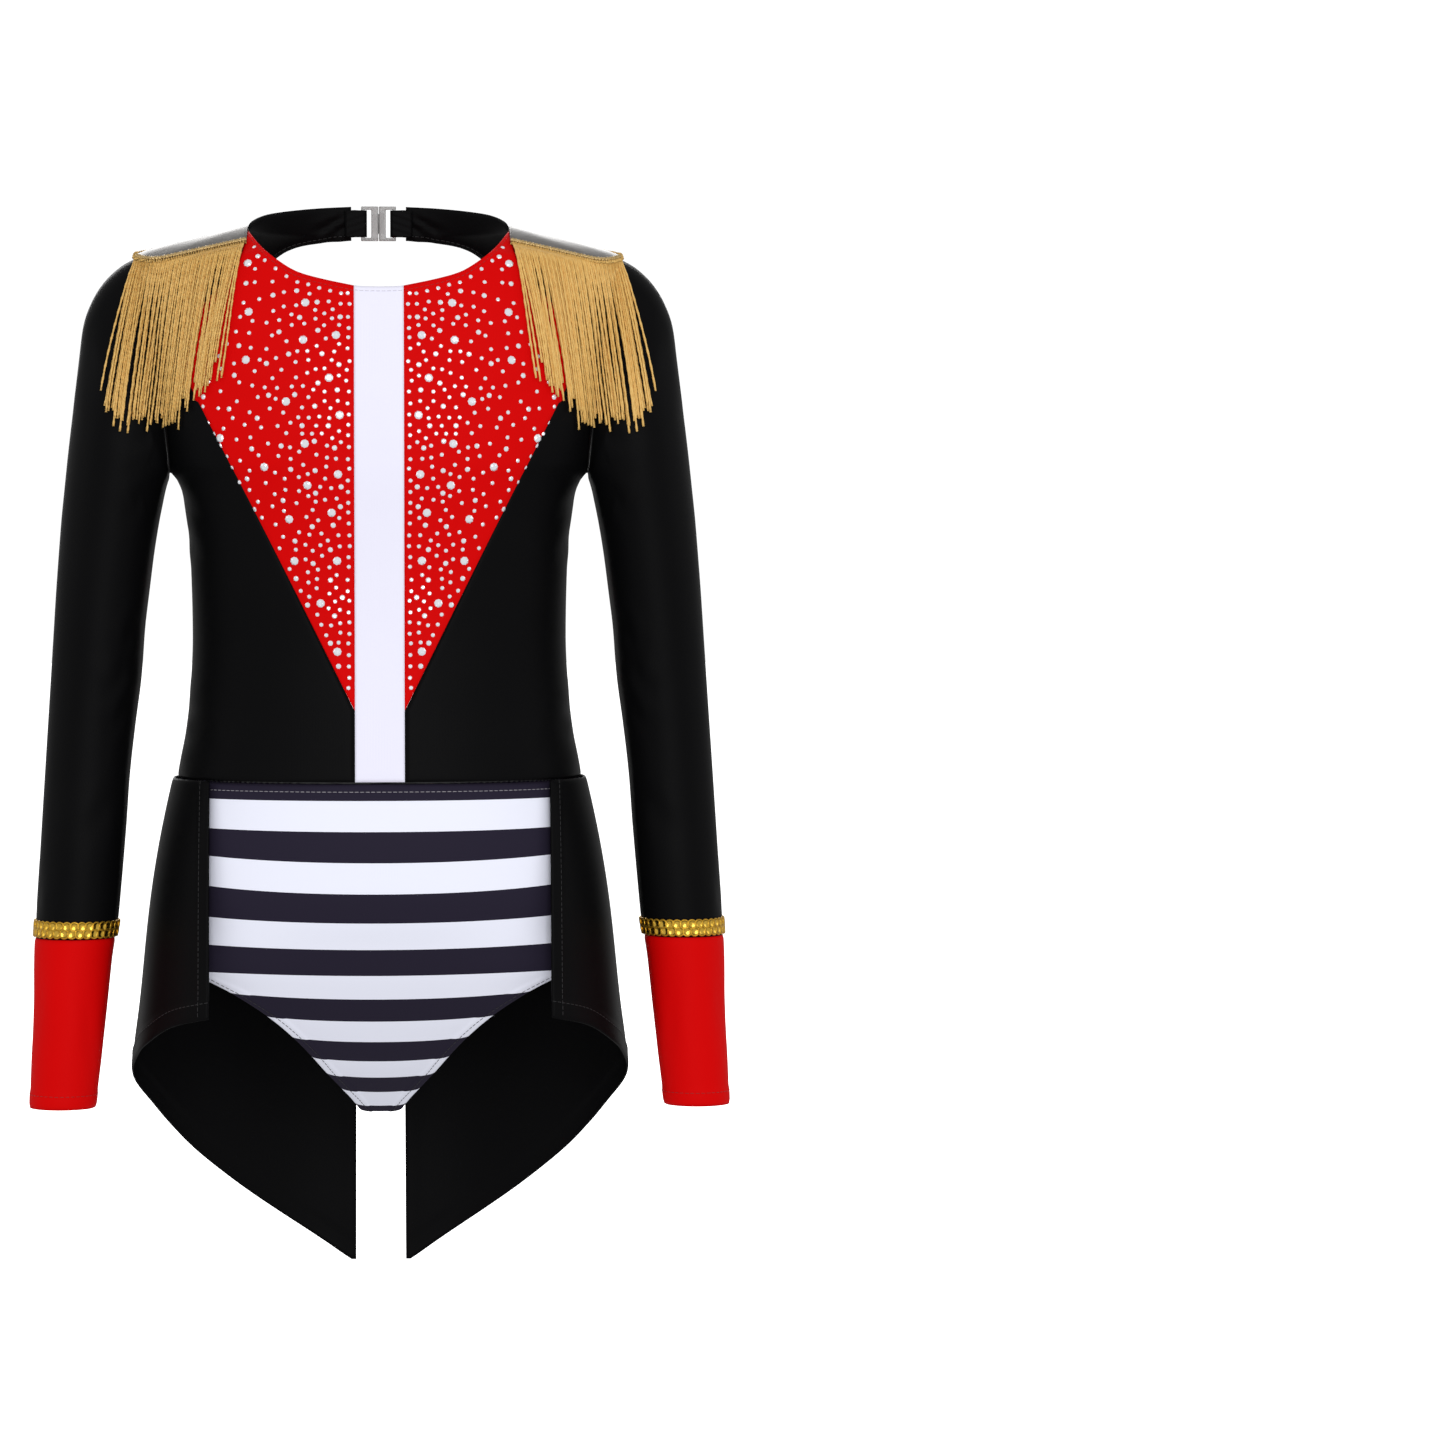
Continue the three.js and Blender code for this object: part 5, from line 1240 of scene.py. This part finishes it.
# %% Braid
BRAID_ROWS = (8.3, 4.0)  # heights above the cuff seam
LOOP_RADIUS, LOOP_THREAD, LOOP_STEP = 2.6, 0.6, 4.3
LOOP_SIDES, THREAD_SIDES = 14, 5
CUP_RADIUS, CUP_BOTTOM, CUP_RIM_HEIGHT, CUP_BOTTOM_HEIGHT = 1.9, 0.8, 0.45, 0.05


def loop_and_cup():
    """One ring of thread and the sequin in it, as points, faces and the finish of each face."""
    turn = np.arange(LOOP_SIDES) * 2 * math.pi / LOOP_SIDES
    tube = np.arange(THREAD_SIDES) * 2 * math.pi / THREAD_SIDES
    radial = np.cos(turn)[:, None] * [1, 0] + np.sin(turn)[:, None] * [0, 1]
    height = np.broadcast_to((LOOP_THREAD * np.sin(tube))[None, :, None], (LOOP_SIDES, THREAD_SIDES, 1))
    loop = np.concatenate([radial[:, None] * (LOOP_RADIUS + LOOP_THREAD * np.cos(tube))[None, :, None], height], -1)
    loop = loop.reshape(-1, 3)
    i, j = np.arange(LOOP_SIDES)[:, None], np.arange(THREAD_SIDES)[None]
    n, m = (i + 1) % LOOP_SIDES, (j + 1) % THREAD_SIDES
    corners = [i * THREAD_SIDES + j, n * THREAD_SIDES + j, n * THREAD_SIDES + m, i * THREAD_SIDES + m]
    loop_faces = np.stack(corners, -1).reshape(-1, 4).tolist()
    rim = np.hstack([radial * CUP_RADIUS, np.full((LOOP_SIDES, 1), CUP_RIM_HEIGHT)])
    bottom = np.hstack([radial * CUP_BOTTOM, np.full((LOOP_SIDES, 1), CUP_BOTTOM_HEIGHT)])
    low, high = len(loop), len(loop) + LOOP_SIDES
    after = [(k + 1) % LOOP_SIDES for k in range(LOOP_SIDES)]
    cup_faces = [[low + k, low + n, high + n, high + k] for k, n in enumerate(after)]
    cup_faces.append([high + k for k in range(LOOP_SIDES)])
    finish = [0] * len(loop_faces) + [1] * len(cup_faces)
    return np.vstack([loop, rim, bottom]), loop_faces + cup_faces, finish


def braid(name, node, sleeve_and_cuff, is_mirrored):
    centres, outs = [], []
    surface = surface_of(*sleeve_and_cuff)
    for number, height in enumerate(BRAID_ROWS):
        ring = arm_rings(np.array([CUFF_ROW - height / 10]))[0]
        if is_mirrored:
            ring = flipped(ring)
        ring = evenly(ring, LOOP_STEP)
        ring = mix(ring, np.roll(ring, 1, axis=0), 0.5 * number)[1:]
        middle = ring.mean(0)
        out = unit((ring - middle) * [1, 1, 0])
        places, normals = laid(surface, ring, out, 0.75)
        centres.append(places)
        outs.append(normals)
    centres, outs = np.vstack(centres), np.vstack(outs)
    side = unit(np.cross([0, 0, 1], outs))
    up = np.cross(outs, side)
    one, faces, finish = loop_and_cup()
    axes = np.stack([side, up, outs], 1)
    points = centres[:, None] + np.einsum("kc,ncd->nkd", one, axes)
    every = [[corner + k * len(one) for corner in face] for k in range(len(centres)) for face in faces]
    print(name, len(centres), "loops")
    return add_piece(name, [node], "gold_braid", points.reshape(-1, 3), every, [metal_thread, sequin_foil],
                     face_finish=finish * len(centres))


trims = [
    braid(f"cuff_braid_{side}", f"cuff_trim_{side}", (sleeves[k], cuffs[k]), bool(k))
    for k, side in enumerate(("left", "right"))
]

# %% [markdown]
# ## Shoulder boards
#
# Each board is a stiff tongue covered in foil cloth. It lies along the shoulder, dips to the front and has a
# rounded end. Its top is slightly crowned by the padding, and uneven by less than a fifth of a millimetre, as
# cloth over a stiffener is.

# %% Boards
BOARD_START_X, BOARD_LENGTH, BOARD_THICK = 78, 65, 2.2
BOARD_DROP, BOARD_DIP = 16, 9.8  # along the shoulder, and to the front edge
BOARD_CROWN, BOARD_DENTS = 0.8, 0.18
FRONT_EDGE_Y, BACK_EDGE_Y = -37, 4


def board_edges(share):
    rounding = np.sqrt(np.maximum(1 - (np.maximum(share - 0.72, 0) / 0.3) ** 2, 0))
    return mix(-13, FRONT_EDGE_Y + 3 * share, rounding), mix(-9, BACK_EDGE_Y, rounding)


def board_height(x, y):
    along = 2.7 - (x - BOARD_START_X) * BOARD_DROP / BOARD_LENGTH
    return along - BOARD_DIP * (np.minimum(y, 0) / FRONT_EDGE_Y) ** 2 - 0.4 * (np.maximum(y, 0) / 6) ** 2


def board_sheet():
    share = 1 - (1 - np.linspace(0, 1, 60)) ** 1.4
    share = share[:, None]
    across = np.linspace(0, 1, 34)[None]
    front, back = board_edges(share)
    x, y = BOARD_START_X + BOARD_LENGTH * share + 0 * across, mix(front, back, across)
    crown = BOARD_CROWN * np.sin(math.pi * across) ** 0.6 * smooth_step(1 - share, 0, 0.1)
    dents = BOARD_DENTS * np.sin(x / 6.5 + y / 9) * np.sin(y / 5 + 1)
    points = np.stack([x, y, board_height(x, y) + BOARD_THICK - 0.5 + crown + dents * crown], -1)
    return welded(sheet_of(points, facing=-1))


board = board_sheet()
if board["normals"][:, 2].mean() < 0:
    board = turned_over(board)
boards = add_pair("shoulder_board", "foil_cloth", board, foil_cloth, thick=BOARD_THICK - 0.3, held="laid")

# %% [markdown]
# ## Fringe
#
# The fringe hangs from a tape sewn round the board's edge. Each strand is a two-ply twisted cord. Under
# gravity it goes over the shoulder, lies against the cloth below and hangs straight from there, so its path
# is found by asking how far out the cloth comes at each level. The tips are cut roughly even but the cord's
# own twist leaves them uneven.

# %% Where the strands hang
HEADER_AWAY, HEADER_RADIUS = 1.6, 1.25
FRONT_TIPS = [  # share of the way from the neck end to the shoulder tip, x and z of a strand's end
    (0, 94, -82), (0.08, 99, -85), (0.2, 108, -95), (0.3, 115, -106), (0.5, 128.5, -112), (0.8, 149.5, -113),
    (1, 163, -100),
]
BACK_TIPS = [(0, 104, -64), (0.15, 111, -76), (0.35, 122, -82), (0.55, 134, -95), (0.8, 150, -101), (1, 163, -106)]
CORD_RADIUS, CORD_CLEARANCE = 0.64, 0.5
FRONT_STRANDS, BACK_STRANDS = 80, 44
CORD_PLY, CORD_TWIST = 0.22, 2.2
TIP_SPREAD_X, TIP_SPREAD_Z, TIP_WAVE, SWAY = 0.8, 3.4, 2.5, 1.1
PROBE_AWAY, LARGEST_STEP_IN = 400, 12


def header_path():
    share = np.concatenate([np.linspace(0, 0.7, 12), np.linspace(0.74, 1, 12)])
    front, back = board_edges(share)
    x = BOARD_START_X + BOARD_LENGTH * share
    outline = np.vstack([np.stack([x, front], -1), np.stack([x, back], -1)[::-1]])
    along = unit(np.gradient(outline, axis=0))
    moved = outline + np.stack([along[:, 1], -along[:, 0]], -1) * HEADER_AWAY
    height = board_height(moved[:, 0], moved[:, 1]) + BOARD_THICK * 0.75
    return np.column_stack([moved, height])


def tube(path, radius, sides, ply=0.0, twist=0.0, normals_up=(0, 0, 1)):
    """A cord round a path. With ply its section is pinched in the middle and turns by twist each millimetre."""
    path = np.asarray(path, float)
    along = unit(np.gradient(path, axis=0))
    side = unit(np.cross(along, normals_up))
    up = np.cross(side, along)
    lengths = np.r_[0, np.cumsum(np.linalg.norm(np.diff(path, axis=0), axis=1))]
    turn = np.arange(sides) * 2 * math.pi / sides
    section = radius * (1 + ply * np.cos(2 * turn))
    angle = turn[None] + twist * lengths[:, None]
    ring = side[:, None] * np.cos(angle)[..., None] + up[:, None] * np.sin(angle)[..., None]
    points = path[:, None] + ring * section[None, :, None]
    i, j = np.arange(len(path) - 1)[:, None] * sides, np.arange(sides)[None]
    n = (j + 1) % sides
    faces = np.stack([i + j, i + n, i + sides + n, i + sides + j], -1).reshape(-1, 4).tolist()
    last = (len(path) - 1) * sides
    faces += [list(range(sides - 1, -1, -1)), list(range(last, last + sides))]
    return points.reshape(-1, 3), faces


def gathered(parts):
    points, faces, start = [], [], 0
    for part_points, part_faces in parts:
        points.append(part_points)
        faces += [[corner + start for corner in face] for face in part_faces]
        start += len(part_points)
    return np.vstack(points), faces


# %% [markdown]
# ### Strands over the shoulder
#
# For every strand a few levels are probed with rays from the front or from the back. A strand never comes
# closer to the cloth than its own radius. Each also sways a little sideways, and the ones at the back hang
# in a looser row, as in life.

# %% Fringe
cloth_under = surface_of(red_fronts[0], side_panels[0], yokes[0], sleeves[0])
header = header_path()


def reach_at(x, z, facing):
    start = Vector((x, facing * PROBE_AWAY, z))
    hit, _, _, _ = cloth_under.ray_cast(start, Vector((0, -facing, 0)), 2 * PROBE_AWAY)
    return hit.y * facing if hit else -math.inf


def strand(root, tip, facing, sway, layer):
    full = root[2] - tip[1]
    drops = np.concatenate([[0.0], np.linspace(2.5, 14, 5), np.linspace(20, full, max(int(full / 7), 4))])
    x = mix(root[0], tip[0], (drops / full) ** 0.8) + sway * np.sin(drops / full * 2.6) * drops / full
    z = root[2] - drops
    reach = [max(reach_at(a, b + up, facing) for up in (-2, 0, 2)) for a, b in zip(x, z)]
    for k in range(1, len(reach)):  # beside the cloth a strand hangs on as it hung above
        if reach[k] == -math.inf or reach[k] < reach[k - 1] - LARGEST_STEP_IN:
            reach[k] = reach[k - 1]
    reach = np.array(reach)
    y = facing * (reach + CORD_RADIUS + CORD_CLEARANCE + layer)
    y[0] = root[1]
    y = np.concatenate([[y[0]], 0.25 * y[:-2] + 0.5 * y[1:-1] + 0.25 * y[2:], [y[-1]]])
    outer = facing * np.maximum(facing * y, reach + CORD_RADIUS + 0.25)
    outer[0] = root[1]
    return np.stack([x, outer, z], -1)


def fringe_strands():
    rng = np.random.default_rng(8)
    half = len(header) // 2
    parts = [tube(evenly(header, 1.5), HEADER_RADIUS, 8, ply=0.12, twist=1.6)]
    lengths = []
    rows = (
        (FRONT_STRANDS, header[:half], curve_through(FRONT_TIPS), -1),
        (BACK_STRANDS, header[half:][::-1], curve_through(BACK_TIPS), 1),
    )
    for count, edge, tips, facing in rows:
        line = evenly(edge, 0.5)
        for k in range(count):
            share = (k + 0.5) / count
            root = line[int(mix(0.015, 0.985, share) * (len(line) - 1))]
            x, z = tips(np.array(share))
            tip = (x + rng.normal() * TIP_SPREAD_X, z + rng.normal() * TIP_SPREAD_Z + TIP_WAVE * math.sin(k * 0.9))
            path = strand(root, tip, facing, rng.normal() * SWAY, (k % 3) * 0.75)
            fine = evenly(path, 2.4)
            lengths.append(np.linalg.norm(np.diff(fine, axis=0), axis=1).sum())
            parts.append(tube(fine, CORD_RADIUS, 6, ply=CORD_PLY, twist=CORD_TWIST, normals_up=(1, 0, 0)))
    print(len(lengths), "strands a side,", round(min(lengths)), "to", round(max(lengths)), "mm long")
    return gathered(parts)


fringe_points, fringe_faces = fringe_strands()
fringes = add_both("fringe_{}_cords", "fringe_{}", "gold_cord", fringe_points, fringe_faces, rayon_cord)
print("fringe", len(fringe_faces), "faces a side")

# %% [markdown]
# ## Seam inside the waist
#
# Bodice, brief and skirt are joined by one overlocked seam. From inside it is a soft roll of thread that covers
# the join, so it is drawn as a cord just inside the cloth. Its path is the waist's own outline, drawn in.

# %% Overlocked seam
SEAM_INSIDE = [0.977, 0.968, 1]  # share of the waist's width and depth, so that the roll lies inside the cloth
SEAM_RADIUS, SEAM_BELOW = 1.0, 0.25
seam_turn = np.linspace(-180, 180, 181)[:, None]
seam_path = body.point(seam_turn, 0 * seam_turn + WAIST_Z)[:, 0] * SEAM_INSIDE - [0, 0, SEAM_BELOW]
seam_points, seam_faces = tube(seam_path, SEAM_RADIUS, 8, ply=0.15, twist=1.2)
waist_seam = add_piece("waist_seam_overlock", [], "black_jersey", seam_points, seam_faces, [black_thread])
print("waist", round(np.linalg.norm(np.diff(seam_path, axis=0), axis=1).sum()), "mm round, inside")

# %% [markdown]
# ## Piping of the boards
#
# A twisted champagne-gold piping follows the front edge of each board, where foil cloth and fringe meet. It is
# the same kind of tube as a strand, thicker and with a shorter twist.

# %% Piping along the boards
PIPING_RADIUS = 1.35
share = np.linspace(0, 1, 60)
front_rim, _ = board_edges(share)
rim_x = BOARD_START_X + BOARD_LENGTH * share
piping_path = np.column_stack([rim_x, front_rim, board_height(rim_x, front_rim) + BOARD_THICK + 0.35])
piping_points, piping_faces = tube(evenly(piping_path, 0.8), PIPING_RADIUS, 8, ply=0.2, twist=1.5)
pipings = add_both("board_piping_{}", None, "foil_cloth", piping_points, piping_faces, gold_piping)
print("piping", round(BOARD_LENGTH), "mm along the board")

# %% [markdown]
# ## Clasp at the nape
#
# The clasp is a pair of clear plastic plates. Each has a slot for the strap, and a tongue on one holds the
# other. A plate is an outline with a slot, drawn out to its thickness, with its edges rounded by a bevel.

# %% Clasp
CLASP_MID_Z, CLASP_HEIGHT, CLASP_THICK = 8.6, 21, 2
CLASP_SEAM, SLOT_IN, SLOT_OUT, CLASP_END, SLOT_HEIGHT = 0.2, 4.4, 8.6, 10.6, 17
neck_back = body.point(180, CLASP_MID_Z)[1]
HALF_CLOTH, EDGE_ROUND = 0.8, 0.45
clasp_y = neck_back - HALF_CLOTH - CLASP_THICK / 2


def frame_plate():
    """Four lines each way make nine fields, and the middle one stays open."""
    xs = (CLASP_SEAM, SLOT_IN, SLOT_OUT, CLASP_END)
    zs = (-CLASP_HEIGHT / 2, -SLOT_HEIGHT / 2, SLOT_HEIGHT / 2, CLASP_HEIGHT / 2)
    points = np.array([(x, y, z) for y in (0, CLASP_THICK) for z in zs for x in xs])
    faces = []
    for row in range(3):
        for column in range(3):
            if (row, column) == (1, 1):
                continue
            first = row * 4 + column
            ring = [first, first + 1, first + 5, first + 4]
            faces += [ring, [corner + 16 for corner in ring[::-1]]]
    rim = rim_of(np.array(faces[::2]))
    faces += [[b, a, a + 16, b + 16] for a, b in rim.tolist()]
    return points, faces


def block(low, high):
    points = np.array([(x, y, z) for x in (low[0], high[0]) for y in (low[1], high[1]) for z in (low[2], high[2])])
    return points, [[0, 1, 3, 2], [4, 6, 7, 5], [0, 4, 5, 1], [2, 3, 7, 6], [0, 2, 6, 4], [1, 5, 7, 3]]


def rounded(piece, width, segments=3):
    bevel = piece.modifiers.new("rounded_edges", "BEVEL")
    bevel.width, bevel.segments, bevel.limit_method = width * MM, segments, "ANGLE"


plate_points, plate_faces = frame_plate()
tongue = block((-4, CLASP_THICK + 0.3, -6), (SLOT_IN - 1, CLASP_THICK + 1.7, 6))
neck = block((1, 0.8, -5.5), (SLOT_IN - 1.2, CLASP_THICK + 0.6, 5.5))
place = np.array([0, clasp_y, CLASP_MID_Z])
hook_points, hook_faces = gathered([(plate_points, plate_faces), tongue, neck])
hook = add_piece("clasp_hook_plate", ["clasp_hook"], "clear_plastic", hook_points + place, hook_faces, [acetal_painted_grey_shade])
eye_points, eye_faces = flipped(plate_points) + place, [face[::-1] for face in plate_faces]
eye = add_piece("clasp_eye_plate", ["clasp_eye"], "clear_plastic", eye_points, eye_faces, [acetal_painted_grey_shade])
for piece in (hook, eye):
    rounded(piece, EDGE_ROUND)
print("clasp", 2 * CLASP_END, "by", CLASP_HEIGHT, "mm")

# %% [markdown]
# ### The strap's fold
#
# The strap goes through the plate's slot and comes back on itself. The fold is a thin wall round the outer
# bar, swept over the strap's height, with a small pucker where it is drawn together.

# %% Strap ends folded round the clasp
FOLD_GAP, FOLD_LAYER, STRAP_END_X, FOLD_RIPPLE = 0.35, 1.0, 20.5, 0.14


def fold_sheet():
    turn = np.linspace(-math.pi / 2, -3 * math.pi / 2, 17)
    half = CLASP_THICK / 2 + FOLD_GAP + FOLD_LAYER
    bend_x = SLOT_OUT - FOLD_GAP + 0.55 + half * 0.75 * np.cos(turn)
    bend_y = CLASP_THICK / 2 + half * np.sin(turn)
    xs = np.r_[np.linspace(STRAP_END_X, bend_x[0] + 0.5, 8), bend_x, np.linspace(bend_x[-1] + 0.5, STRAP_END_X, 8)]
    ys = np.r_[np.full(8, bend_y[0]), bend_y, np.full(8, bend_y[-1])]
    z = np.linspace(SLOT_HEIGHT / 2 - 0.4, -SLOT_HEIGHT / 2 + 0.4, 22)[:, None]
    ripple = FOLD_RIPPLE * np.sin(z * 1.5 + xs[None] * 0.5)
    outward = np.sign(ys - CLASP_THICK / 2)[None]
    points = np.stack([xs[None] + 0 * z, ys[None] + ripple * outward, z + 0 * xs[None]], -1)
    return points + place


fold = welded(sheet_of(fold_sheet()))
centre = np.array([STRAP_END_X, clasp_y + CLASP_THICK / 2, CLASP_MID_Z])
if np.mean(np.sum(fold["normals"] * (fold["points"] - centre), axis=1)) < 0:
    fold = turned_over(fold)
folds = add_pair("strap_loop", "black_jersey", fold, black_tricot, thick=FOLD_LAYER - 0.1, held="folded")

# %% [markdown]
# ## The cloth's cuts
#
# Each cloth piece has the size that it was cut to, read here with the shorter side first. The figure stretches
# tricot by a few percent, so the cut is taken as the area that the cloth covers. A narrow strap is declared at
# the least width that the frame takes, with its real area.


for cut in cuts:
    name = cut["piece"].name
    width, length = sorted((cut["width"], cut["length"]))
print(len(cuts), "sheets declared")

# %% [markdown]
# ## Studio
#
# The costume hangs free over a plain white floor, in white air on all sides, as in a shop photograph. The air
# is shown white to the camera, but it lights the cloth a little less, so that the soft boxes can give it
# shape. The floor glows faintly, so that no horizon and no shadow shows, and it casts no light of its own.

# %% Floor, air and light
FLOOR_Z, FLOOR_HALF = -720, 14000
AIR_LIGHT, AIR_SHOWN = 0.6, 1.05

paper, _, paper_shader = new_finish("matt_paper", Roughness=0.9, Emission_Strength=0.9)
paper_shader.inputs["Base Color"].default_value = linear("#fafafa")
paper_shader.inputs["Emission Color"].default_value = linear("#ffffff")
floor_corners = [(x * FLOOR_HALF, y * FLOOR_HALF, FLOOR_Z) for x, y in ((-1, -1), (1, -1), (1, 1), (-1, 1))]
floor = add_mesh("studio_floor", floor_corners, [[0, 1, 2, 3]], [paper])
floor.visible_diffuse = floor.visible_glossy = False

world = bpy.data.worlds.new("studio_air")
world.use_nodes = True
air = world.node_tree.nodes["Background"]
air.inputs["Color"].default_value = linear("#ffffff")
seen = add_node(world.node_tree, "ShaderNodeLightPath")
strength = add_node(world.node_tree, "ShaderNodeMix", {2: AIR_LIGHT, 3: AIR_SHOWN}, {0: seen.outputs["Is Camera Ray"]})
world.node_tree.links.new(strength.outputs[0], air.inputs["Strength"])
bpy.context.scene.world = world


def soft_light(name, place, target, width, height, power):
    light = bpy.data.lights.new(name, "AREA")
    light.shape, light.size, light.size_y, light.energy = "RECTANGLE", width, height, power
    lamp = bpy.data.objects.new(name, light)
    lamp.location = place
    lamp.rotation_euler = (Vector(target) - Vector(place)).to_track_quat("-Z", "Y").to_euler()
    bpy.context.scene.collection.objects.link(lamp)


soft_light("front_softbox", (0.2, -3.0, 0.7), (0, 0, -0.3), 2.0, 1.6, 37)
soft_light("back_softbox", (-0.2, 3.0, 0.8), (0, 0, -0.3), 2.0, 1.6, 37)
soft_light("low_softbox", (0, -2.8, -0.62), (0, 0, -0.45), 1.6, 0.1, 6)
soft_light("left_softbox", (-3.0, -0.3, 0.8), (0, 0, -0.3), 1.4, 1.8, 8)
soft_light("right_softbox", (3.0, -0.3, 0.8), (0, 0, -0.3), 1.4, 1.8, 8)
print("lights", len(bpy.data.lights))

# %% [markdown]
# ## Camera
#
# The costume is seen from straight in front, from a few metres away, with the camera at chest height. The
# frame is as wide as the picture that the costume was rebuilt from, so it keeps its place left of the middle.

# %% Camera
SENSOR, FRAME_WIDTH, CAMERA_AWAY = 36, 0.867, 3.5  # sensor in mm, the others in metres
CAMERA_Z, LOOK_AT = -0.14, (0.2058, 0, -0.2925)
camera_data = bpy.data.cameras.new("camera")
camera_data.sensor_width, camera_data.lens = SENSOR, SENSOR * CAMERA_AWAY / FRAME_WIDTH
camera = bpy.data.objects.new("camera", camera_data)
camera.location = (0, -CAMERA_AWAY, CAMERA_Z)
camera.rotation_euler = (Vector(LOOK_AT) - camera.location).to_track_quat("-Z", "Y").to_euler()
bpy.context.scene.collection.objects.link(camera)
bpy.context.scene.camera = camera
bpy.context.scene.view_settings.view_transform = "Standard"
print("lens", round(camera_data.lens), "mm")
